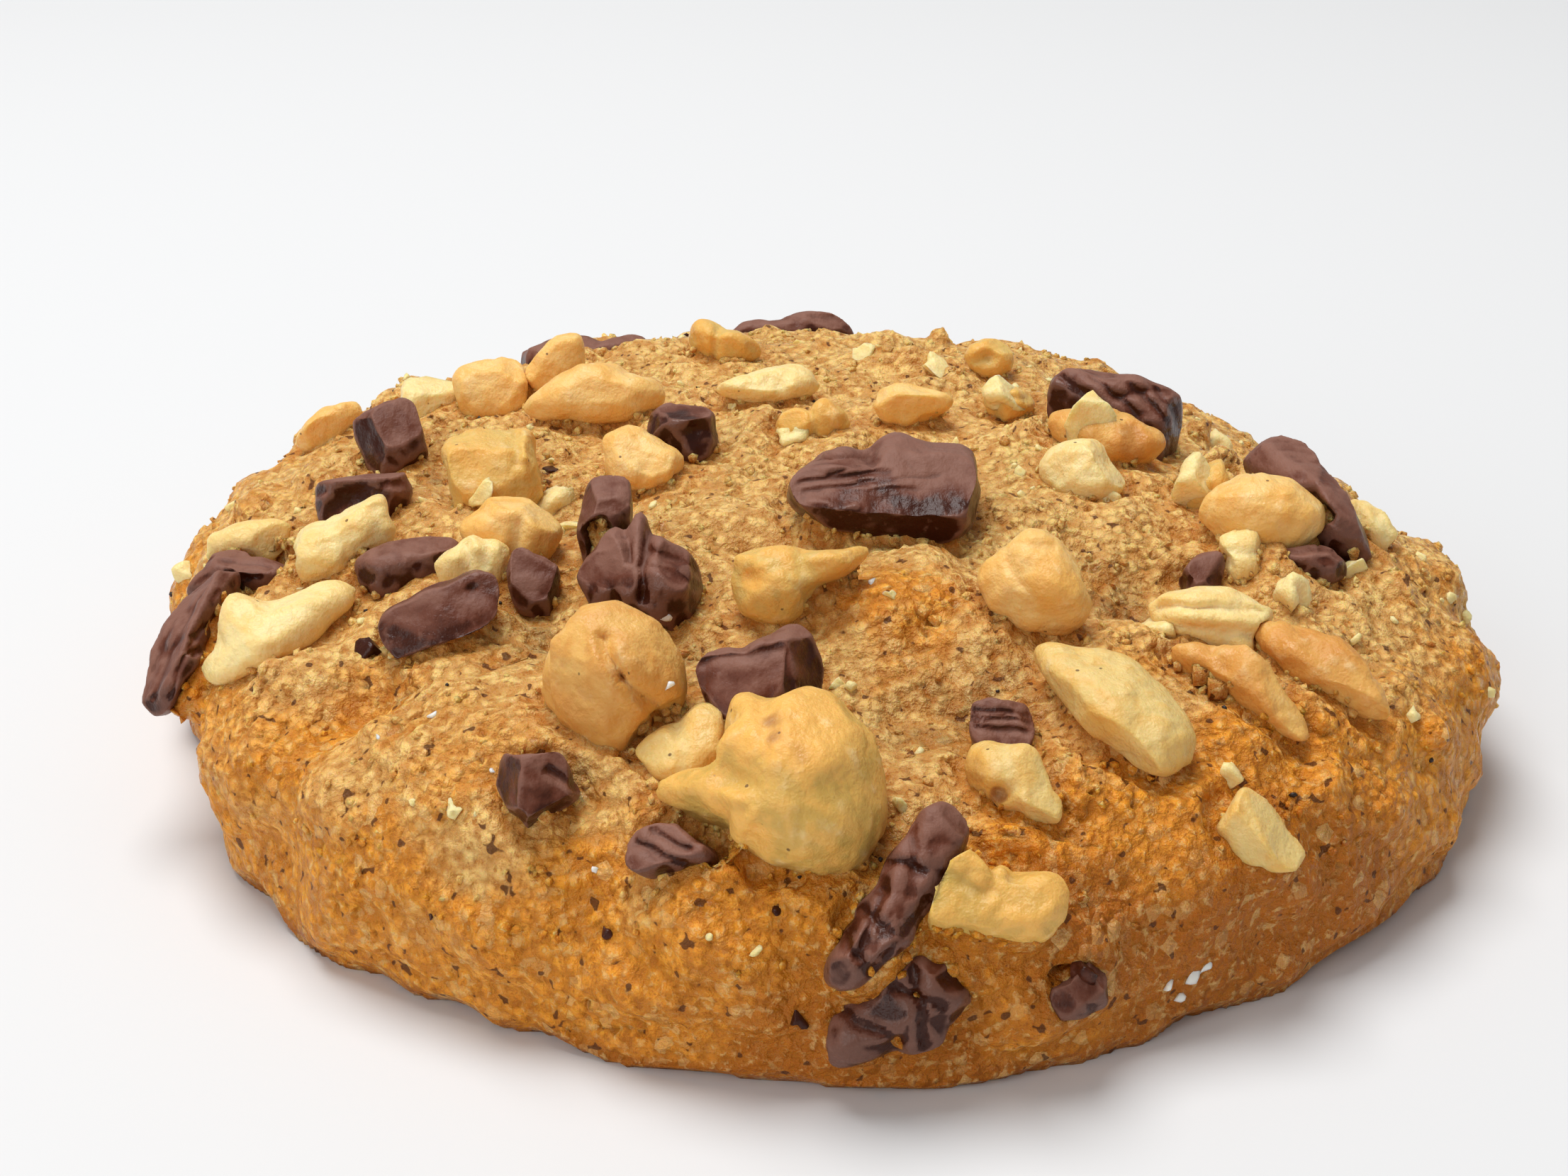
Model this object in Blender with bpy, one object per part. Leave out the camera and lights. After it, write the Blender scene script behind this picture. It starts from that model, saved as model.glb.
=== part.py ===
"""A peanut butter cookie with chopped peanuts and dark chocolate chunks.

One lumpy round of dough lies on its flat base. The larger peanut pieces and chocolate
chunks sit in pockets in its top and rim, each a solid of its own, and the small nut
crumbs are one with the dough. Sizes are given in millimetres and built in metres, +Z up.
The origin is under the middle of the cookie, on the surface that it lies on, and the
side that was photographed faces -Y.
"""

import math
import random
from collections import defaultdict

import bmesh
import bpy
from mathutils import Euler, Matrix, Vector, noise
from mathutils.bvhtree import BVHTree

MM = 0.001

# The round of dough
COOKIE_RADIUS = 45.0
WIDEST_HEIGHT = 5.0
CROWN_RISE = 13.1
SHOULDER_POWER = 2.5
UNDERCUT_DEG = 108.0
# How far the rim stands outside (+) or inside (-) the plain circle at each bearing
RIM_OFFSETS = (
    (-174, -1.0), (-162, -2.2), (-148, -2.0), (-130, -0.7), (-88, 0.3), (-41, -0.5), (-20, -0.5),
    (0, -1.7), (12, -2.6), (30, -2.8), (46, -2.8), (64, -1.2), (90, 0.4), (125, 0.8), (150, 0.2), (170, 0.5),
)
# Soft swellings (+) and hollows (-) of the dough: place x, y, z, reach and height
SWELLINGS = (
    (-21, -33, 12, 10, 2.0),
    (-35, -24, 10, 6, 2.2),
    (-28, -26, 13, 3.0, -2.2),
    (-34, -31, 6, 4, -2.0),
    (-43, -13, 12, 5.5, 3.6),
    (40, -3, 11, 5, 1.5),
    (-24, -40, 5, 6, -0.8),
    (-5, -42, 9, 6, 1.8),
    (-13, -41, 9, 3.5, -1.5),
    (-1, -36, 15, 5, -0.8),
    (5, -22, 17, 5.5, 2.2),
    (-1, -24, 17, 3, -1.0),
    (16, -37, 11, 6, 1.2),
    (30, -30, 10, 10, 0.7),
    (35, -13, 13, 6, 1.0),
    (9, -43, 4, 6, 0.6),
    (-17, -20, 17, 4.5, -2.0),
    (-9, -25, 17, 3.5, -1.8),
    (7, -30, 16, 4.5, -2.0),
    (19, -17, 17, 4.5, -2.2),
    (26, -17, 16, 4, -1.2),
    (-16, -6, 18, 4.5, -1.8),
    (-6, -6, 18, 5, 0.8),
    (-26, 2, 17, 4, -1.2),
    (13, -8, 18, 5, 0.8),
    (10, 2, 18, 4, -0.8),
    (-38, 8, 12, 8, 0.8),
    (-31, 22, 13, 5, 1.4),
    (-11, 27, 16, 5, 1.2),
    (2, 27, 17, 6, 0.8),
    (16, 26, 16, 6, 1.0),
    (31, 13, 15, 9, -1.5),
    (22, 36, 12, 7, 0.6),
)
# The lip of dough that has risen round each piece
COLLAR_RISE = 0.5
COLLAR_REACH = 1.8
CRAG_SIZE = 6.5
CRAG_DEPTH = 2.2
FINE_CRAG_SIZE = 2.8
FINE_CRAG_DEPTH = 0.8
DOUGH_SPHERE_LEVEL = 6
DOUGH_TRIANGLES = 3800
POCKETED_TRIANGLES = 7800
PIECE_TRIANGLES = 100
LARGE_PIECE_TRIANGLES = 150
LARGE_PIECE = 9.0

# Nut and chocolate crumbs that are one with the dough: place (x, y and on the rim z) and size
CRUMBS = (
    # Those that the photographed side shows
    ((27.0, 4.6), 3.4),
    ((35.6, -23.8), 2.6),
    ((28.4, -17.2), 3.2),
    ((6.8, 20.6), 3.6),
    ((20.4, 1.6), 2.0),
    ((-24.8, -14.6), 2.2),
    ((-26.6, -14.0), 1.8),
    ((-22.8, -5.0), 2.6),
    ((-17.6, -2.4), 2.0),
    ((-17.4, 2.6), 2.0),
    ((-28.8, -12.8), 3.0),
    ((25.2, -39.0), 1.8),
    ((36.0, -11.4), 2.0),
    ((14.6, -33.0), 2.2),
    ((-36.6, 15.6), 3.0),
    ((27.6, 15.4), 2.6),
    ((9.6, 29.4), 2.0),
    # Those of the back, which go on round the rim in the same way
    ((-31.0, 27.6), 2.4),
    ((-37.6, 20.2), 2.8),
    ((24.6, 35.0), 3.0),
    ((30.0, 29.8), 3.0),
    ((40.4, 12.0), 2.6),
    ((-16.6, 39.2), 2.4),
    ((35.5, 27.7, 6.0), 4.2),
    ((27.7, 35.5, 8.0), 4.6),
    ((21.0, 39.7, 6.0), 5.6),
    ((13.2, 43.0, 9.0), 4.4),
    ((5.5, 44.7, 7.0), 5.8),
    ((-4.7, 44.8, 9.5), 5.0),
    ((-13.2, 43.0, 6.5), 5.8),
    ((-21.0, 39.7, 8.5), 4.6),
    ((-27.7, 35.5, 6.0), 5.4),
    ((-35.5, 27.7, 7.0), 4.4),
)
CRUMB_STRETCH = 1.3
CRUMB_TURN = 47.0

# Clearance that touching solids keep, the smallest rounding of a broken edge, and the
# distance under which two points are one
GAP = 0.3
BROKEN_EDGE = 0.35
STRAY = 0.002
BOOLEAN_SOLVER = "EXACT"

MATERIALS = {
    "dough": ((0.60, 0.33, 0.12), 0.75),
    "peanut": ((0.80, 0.60, 0.29), 0.45),
    "chocolate": ((0.075, 0.030, 0.022), 0.38),
}


def clear_scene():
    for obj in list(bpy.data.objects):
        bpy.data.objects.remove(obj)


def new_collection(name):
    collection = bpy.data.collections.new(name)
    bpy.context.scene.collection.children.link(collection)
    return collection


def new_material(name):
    colour, roughness = MATERIALS[name]
    material = bpy.data.materials.new(name)
    material.use_nodes = True
    shader = material.node_tree.nodes["Principled BSDF"]
    shader.inputs["Base Color"].default_value = (*colour, 1.0)
    shader.inputs["Roughness"].default_value = roughness
    shader.inputs["Metallic"].default_value = 0.0
    return material


# The dough's outer surface


def rim_radius(bearing):
    """Outline radius at a bearing in radians, eased between the rim offsets."""
    degrees = math.degrees(bearing)
    marks = [(d + turn, off) for turn in (-360, 0, 360) for d, off in RIM_OFFSETS]
    marks.sort()
    for (low, before), (high, after) in zip(marks, marks[1:]):
        if low <= degrees < high:
            share = (degrees - low) / (high - low)
            ease = share * share * (3 - 2 * share)
            return COOKIE_RADIUS + before + (after - before) * ease
    raise ValueError(f"no rim offset spans {degrees}")


def section(rise):
    """Share of the radius and height at a rise angle: 0 at the crown, a quarter turn at the widest line."""
    reach = max(math.sin(rise), 0.0) ** (2 / SHOULDER_POWER)
    level = math.cos(rise)
    if level >= 0:
        return reach, WIDEST_HEIGHT + CROWN_RISE * level ** (2 / SHOULDER_POWER)
    lowest = math.cos(math.radians(UNDERCUT_DEG))
    return reach, WIDEST_HEIGHT * (1 - level / lowest)


def plain_point(bearing, rise):
    reach, height = section(rise)
    radius = rim_radius(bearing) * reach
    return Vector((radius * math.cos(bearing), radius * math.sin(bearing), height))


def plain_normal(bearing, rise):
    step = 0.02
    middle = max(rise, 2 * step)
    near, low = section(middle - step)
    far, high = section(middle + step)
    outwards, upwards = low - high, (far - near) * COOKIE_RADIUS
    return Vector((outwards * math.cos(bearing), outwards * math.sin(bearing), upwards)).normalized()


def swelling_at(point):
    return sum(
        height * math.exp(-((point - Vector((x, y, z))).length / reach) ** 2)
        for x, y, z, reach, height in SWELLINGS
    )


def crag_at(point):
    """Rounded knolls with narrow valleys between them, and a finer crumb over both."""
    knolls = abs(noise.noise(point / CRAG_SIZE)) - 0.22
    return knolls * CRAG_DEPTH + noise.noise(point / FINE_CRAG_SIZE + Vector((7, 3, 1))) * FINE_CRAG_DEPTH


def collar_at(point, seats):
    return sum(
        COLLAR_RISE * math.exp(-(((point - seat).length - radius) / COLLAR_REACH) ** 2)
        for seat, radius in seats
    )


def pushed_out(point, normal, amount):
    """Moves a point along the normal, but no further up or down than its height leaves room for."""
    fade = min(1.0, point.z / WIDEST_HEIGHT)
    return point + Vector((normal.x, normal.y, normal.z * fade)) * amount


def dough_point(bearing, rise):
    point = plain_point(bearing, rise)
    return pushed_out(point, plain_normal(bearing, rise), swelling_at(point))


def spot(x, y, z=None):
    """The place on the dough over x, y, or at height z on the rim beyond x, y, as a point and a normal."""
    bearing = math.atan2(y, x)
    if z is None:
        share = min(math.hypot(x, y) / rim_radius(bearing), 0.999)
        rise = math.asin(share ** (SHOULDER_POWER / 2))
    elif z >= WIDEST_HEIGHT:
        rise = math.acos(((z - WIDEST_HEIGHT) / CROWN_RISE) ** (SHOULDER_POWER / 2))
    else:
        lowest = math.cos(math.radians(UNDERCUT_DEG))
        rise = math.acos(lowest * (1 - z / WIDEST_HEIGHT))
    return dough_point(bearing, rise), plain_normal(bearing, rise)


# Mesh helpers


def object_from(bm, name, collection, material=None):
    bmesh.ops.triangulate(bm, faces=bm.faces)
    mesh = bpy.data.meshes.new(name)
    bm.to_mesh(mesh)
    bm.free()
    obj = bpy.data.objects.new(name, mesh)
    collection.objects.link(obj)
    if material:
        mesh.materials.append(material)
    return obj


def bake_modifiers(obj):
    """Replaces the object's mesh by what its modifiers make of it."""
    graph = bpy.context.evaluated_depsgraph_get()
    mesh = bpy.data.meshes.new_from_object(obj.evaluated_get(graph))
    obj.modifiers.clear()
    obj.data = mesh


def tidy_mesh(obj):
    """Merges stray points, drops faces folded flat and keeps only the largest closed body."""
    bm = bmesh.new()
    bm.from_mesh(obj.data)
    bmesh.ops.remove_doubles(bm, verts=bm.verts, dist=STRAY * MM)
    bmesh.ops.dissolve_degenerate(bm, edges=bm.edges, dist=STRAY * MM)
    bmesh.ops.triangulate(bm, faces=bm.faces)
    twins = defaultdict(list)
    for face in bm.faces:
        twins[frozenset(face.verts)].append(face)
    folded = [face for faces in twins.values() if len(faces) > 1 for face in faces]
    bmesh.ops.delete(bm, geom=folded, context="FACES_ONLY")
    waiting = set(bm.verts)
    islands = []
    while waiting:
        island = set()
        front = [waiting.pop()]
        while front:
            vert = front.pop()
            island.add(vert)
            reached = {edge.other_vert(vert) for edge in vert.link_edges} & waiting
            waiting -= reached
            front.extend(reached)
        islands.append(island)
    islands.sort(key=len)
    scraps = [vert for island in islands[:-1] for vert in island]
    bmesh.ops.delete(bm, geom=scraps, context="VERTS")
    loose = [edge for edge in bm.edges if not edge.link_faces]
    bmesh.ops.delete(bm, geom=loose, context="EDGES")
    bm.to_mesh(obj.data)
    bm.free()


def thin_out(obj, triangles):
    if len(obj.data.polygons) > triangles:
        decimate = obj.modifiers.new("fewer faces", "DECIMATE")
        decimate.ratio = triangles / len(obj.data.polygons)
        bake_modifiers(obj)


def slice_off(bm, point, normal):
    """Cleaves away what lies beyond a plane and closes the face that is left."""
    geometry = bm.verts[:] + bm.edges[:] + bm.faces[:]
    bmesh.ops.bisect_plane(
        bm, geom=geometry, plane_co=point, plane_no=normal, dist=0.01, clear_outer=True
    )
    rim = [edge for edge in bm.edges if edge.is_boundary]
    if rim:
        bmesh.ops.holes_fill(bm, edges=rim, sides=0)


# The dough body


def build_dough(collection, material):
    seats = [(spot(*where)[0], (size[0] + size[1]) / 4) for _, _, _, size, _, where, _ in layout()]
    bm = bmesh.new()
    bmesh.ops.create_icosphere(bm, subdivisions=DOUGH_SPHERE_LEVEL, radius=1.0)
    lowest = -0.2
    slice_off(bm, Vector((0, 0, lowest)), Vector((0, 0, -1)))
    last_rise = math.radians(UNDERCUT_DEG)
    for vert in bm.verts:
        share = min(1.0, (1 - vert.co.z) / (1 - lowest))
        rise = last_rise * share**0.62
        bearing = math.atan2(vert.co.y, vert.co.x)
        point = dough_point(bearing, rise)
        relief = crag_at(point) + collar_at(point, seats)
        vert.co = pushed_out(point, plain_normal(bearing, rise), relief) * MM
    dough = object_from(bm, "dough", collection, material)
    thin_out(dough, DOUGH_TRIANGLES)
    for vert in dough.data.vertices:
        if vert.co.z < 0.12 * MM:
            vert.co.z = 0.0
    return dough


def build_crumb(where, size, collection):
    """A small broken crumb on the top, sunk in by a third, or a larger one in the rim, sunk in further."""
    bm = bmesh.new()
    bmesh.ops.create_icosphere(bm, subdivisions=1, radius=size / 2)
    point, normal = spot(*where)
    lift = -0.1 if len(where) == 3 else 1 / 6
    along = Matrix.Rotation(math.radians(CRUMB_TURN * where[0]), 3, normal) @ normal.orthogonal().normalized()
    for vert in bm.verts:
        vert.co *= 1 + 0.45 * noise.noise(vert.co / size + point)
        vert.co += along * vert.co.dot(along) * (CRUMB_STRETCH - 1)
        vert.co += point + normal * size * lift
        vert.co *= MM
    return object_from(bm, "crumb", collection)


def join_crumbs(dough):
    crumbs = new_collection("crumbs")
    for where, size in CRUMBS:
        build_crumb(where, size, crumbs)
    modifier = dough.modifiers.new("crumbs", "BOOLEAN")
    modifier.operation = "UNION"
    modifier.solver = BOOLEAN_SOLVER
    modifier.operand_type = "COLLECTION"
    modifier.collection = crumbs
    bake_modifiers(dough)
    for crumb in list(crumbs.objects):
        bpy.data.objects.remove(crumb)
    bpy.data.collections.remove(crumbs)


# Peanut pieces and chocolate chunks


def smooth_nut(
    size, seed, plump=2.2, tip=0.0, bend=0.0, flat=0.0, lobes=(), cuts=(), detail=2, wobble=0.3
):
    """A peanut piece: an egg of length, width and height, drawn in at its +X tip and bent sideways.

    plump is the power of its rounding, flat draws in its lower half, lobes are swellings or
    notches of its outline (bearing, millimetres, spread in degrees), and cuts are broken
    faces (bearing, elevation, distance from the middle).
    """
    length, width, height = size
    bm = bmesh.new()
    bmesh.ops.create_icosphere(bm, subdivisions=detail, radius=1.0)
    shift = Vector((seed * 3.7, seed * 1.3, 0))
    for vert in bm.verts:
        out = vert.co.copy()
        out /= sum(abs(part) ** plump for part in out) ** (1 / plump)
        bearing = math.degrees(math.atan2(out.y, out.x))
        swell = 0.0
        for middle, amount, spread in lobes:
            turn = (bearing - middle + 180) % 360 - 180
            swell += amount * math.exp(-((turn / spread) ** 2)) * (vert.co.x**2 + vert.co.y**2)
        side = Vector((out.x * length / 2, out.y * width / 2 * (1 - tip * (out.x + 1) / 2), 0))
        if side.length > 0:
            side += side.normalized() * swell
        side.y += bend * out.x**2
        side.z = out.z * height / 2 * (1 - flat if out.z < 0 else 1)
        vert.co = side + vert.co * noise.noise(side / 2.6 + shift) * wobble * 2
    for middle, elevation, distance in cuts:
        cleave(bm, middle, elevation, distance)
    return bm


def cleave(bm, bearing, elevation, distance):
    turn, lean = math.radians(bearing), math.radians(elevation)
    normal = Vector(
        (math.cos(turn) * math.cos(lean), math.sin(turn) * math.cos(lean), math.sin(lean))
    )
    slice_off(bm, normal * distance, normal)


def nugget(size, seed, pull=0.35, swell=0.12, narrow=0.0, edge=BROKEN_EDGE, cuts=(), wobble=0.2):
    """A cleaved piece: the hull of a block whose corners are pulled in at random and whose
    faces bulge a little, with its edges worn."""
    draw = random.Random(seed)
    bm = bmesh.new()
    corners = [(x, y, z) for x in (-1, 1) for y in (-1, 1) for z in (-1, 1)]
    middles = [(1, 0, 0), (-1, 0, 0), (0, 1, 0), (0, -1, 0), (0, 0, 1)]
    for corner in corners:
        taper = 1 - narrow * max(0, corner[2])
        shares = [1 - draw.uniform(0, pull) for _ in corner]
        bm.verts.new(
            [part * share * side / 2 * factor
             for part, share, side, factor in zip(corner, shares, size, (taper, taper, 1))]
        )
    for middle in middles:
        aside = [draw.uniform(-0.45, 0.45) if part == 0 else part * (1 + draw.uniform(0, swell)) for part in middle]
        bm.verts.new([part * side / 2 for part, side in zip(aside, size)])
    hull = bmesh.ops.convex_hull(bm, input=bm.verts)
    inside = {item for item in hull["geom_interior"] if isinstance(item, bmesh.types.BMVert)}
    bmesh.ops.delete(bm, geom=list(inside), context="VERTS")
    for bearing, elevation, distance in cuts:
        cleave(bm, bearing, elevation, distance)
    bmesh.ops.dissolve_limit(bm, angle_limit=math.radians(8), verts=bm.verts, edges=bm.edges)
    bmesh.ops.remove_doubles(bm, verts=bm.verts, dist=0.3)
    if edge:
        bmesh.ops.bevel(
            bm,
            geom=bm.edges[:],
            offset=edge,
            offset_type="OFFSET",
            segments=1,
            profile=0.5,
            affect="EDGES",
            clamp_overlap=True,
            material=-1,
        )
        bmesh.ops.remove_doubles(bm, verts=bm.verts, dist=0.15)
    for vert in bm.verts:
        vert.co += vert.co.normalized() * noise.noise(vert.co / 2.5 + Vector((seed, 0, 0))) * wobble
    return bm


def weld(*pieces):
    """One closed body from several that overlap, in the frame of the first."""
    objects = [object_from(bm, "welding", bpy.context.scene.collection) for bm in pieces]
    for other in objects[1:]:
        modifier = objects[0].modifiers.new("weld", "BOOLEAN")
        modifier.operation = "UNION"
        modifier.solver = BOOLEAN_SOLVER
        modifier.object = other
    bake_modifiers(objects[0])
    bm = bmesh.new()
    bm.from_mesh(objects[0].data)
    bmesh.ops.remove_doubles(bm, verts=bm.verts, dist=0.25)
    for obj in objects:
        bpy.data.objects.remove(obj)
    return bm


def moved(bm, x=0.0, y=0.0, z=0.0, yaw=0.0, pitch=0.0, roll=0.0):
    turn = Euler((math.radians(roll), math.radians(-pitch), math.radians(yaw))).to_matrix().to_4x4()
    bmesh.ops.transform(bm, matrix=Matrix.Translation((x, y, z)) @ turn, verts=bm.verts)
    return bm


def place(bm, x, y, z=None, lift=0.0, yaw=0.0, pitch=0.0, roll=0.0, upright=0.0):
    """Moves a piece from its own middle onto the dough.

    Its +Z follows the dough's normal, or the vertical by the share upright. yaw turns it
    about that, pitch raises its +X end, roll raises its +Y side, and lift moves it outwards.
    """
    point, normal = spot(x, y, z)
    up = normal.lerp(Vector((0, 0, 1)), upright).normalized()
    lean = Vector((0, 0, 1)).rotation_difference(up).to_matrix().to_4x4()
    turn = Euler((math.radians(roll), math.radians(-pitch), 0)).to_matrix().to_4x4()
    heading = Matrix.Rotation(math.radians(yaw), 4, "Z")
    matrix = Matrix.Translation(point + up * lift) @ lean @ heading @ turn
    bmesh.ops.transform(bm, matrix=Matrix.Scale(MM, 4) @ matrix, verts=bm.verts)
    return bm


def nut(name, where, size, shape=None, **placing):
    return name, "peanut", smooth_nut, size, shape or {}, where, placing


def chopped(name, where, size, shape=None, **placing):
    worn = {"edge": 0.6, "pull": 0.45, "wobble": 0.4, **(shape or {})}
    return name, "peanut", nugget, size, worn, where, placing


def chocolate(name, where, size, shape=None, **placing):
    return name, "chocolate", nugget, size, shape or {}, where, placing


def melted(name, where, size, shape=None, **placing):
    soft = {"plump": 3.6, "wobble": 0.6, **(shape or {})}
    return name, "chocolate", smooth_nut, size, soft, where, placing


def double_chunk(size, seed, **shape):
    """A pointed flake standing against a round lump."""
    length, width, height = size
    flake = nugget((length * 0.5, width, height), seed, narrow=0.55, **shape)
    lump = nugget((length * 0.6, width * 0.9, height * 0.85), seed + 2, pull=0.5, **shape)
    return weld(
        moved(flake, x=-length * 0.23, z=height * 0.06, yaw=20, pitch=12),
        moved(lump, x=length * 0.2, y=-width * 0.1, z=-height * 0.04),
    )


def lobed_slab(size, seed, **shape):
    """A broad slab with a small knob at its far left."""
    length, width, height = size
    slab = nugget(size, seed, **shape)
    knob = nugget((length * 0.36, width * 0.3, height * 0.34), seed + 5, edge=0.5)
    return weld(slab, moved(knob, x=-length * 0.26, y=width * 0.2, z=height * 0.42, yaw=20))


def twin(name, where, size, shape=None, **placing):
    return name, "chocolate", double_chunk, size, shape or {}, where, placing


def lobed(name, where, size, shape=None, **placing):
    return name, "chocolate", lobed_slab, size, shape or {}, where, placing


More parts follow.
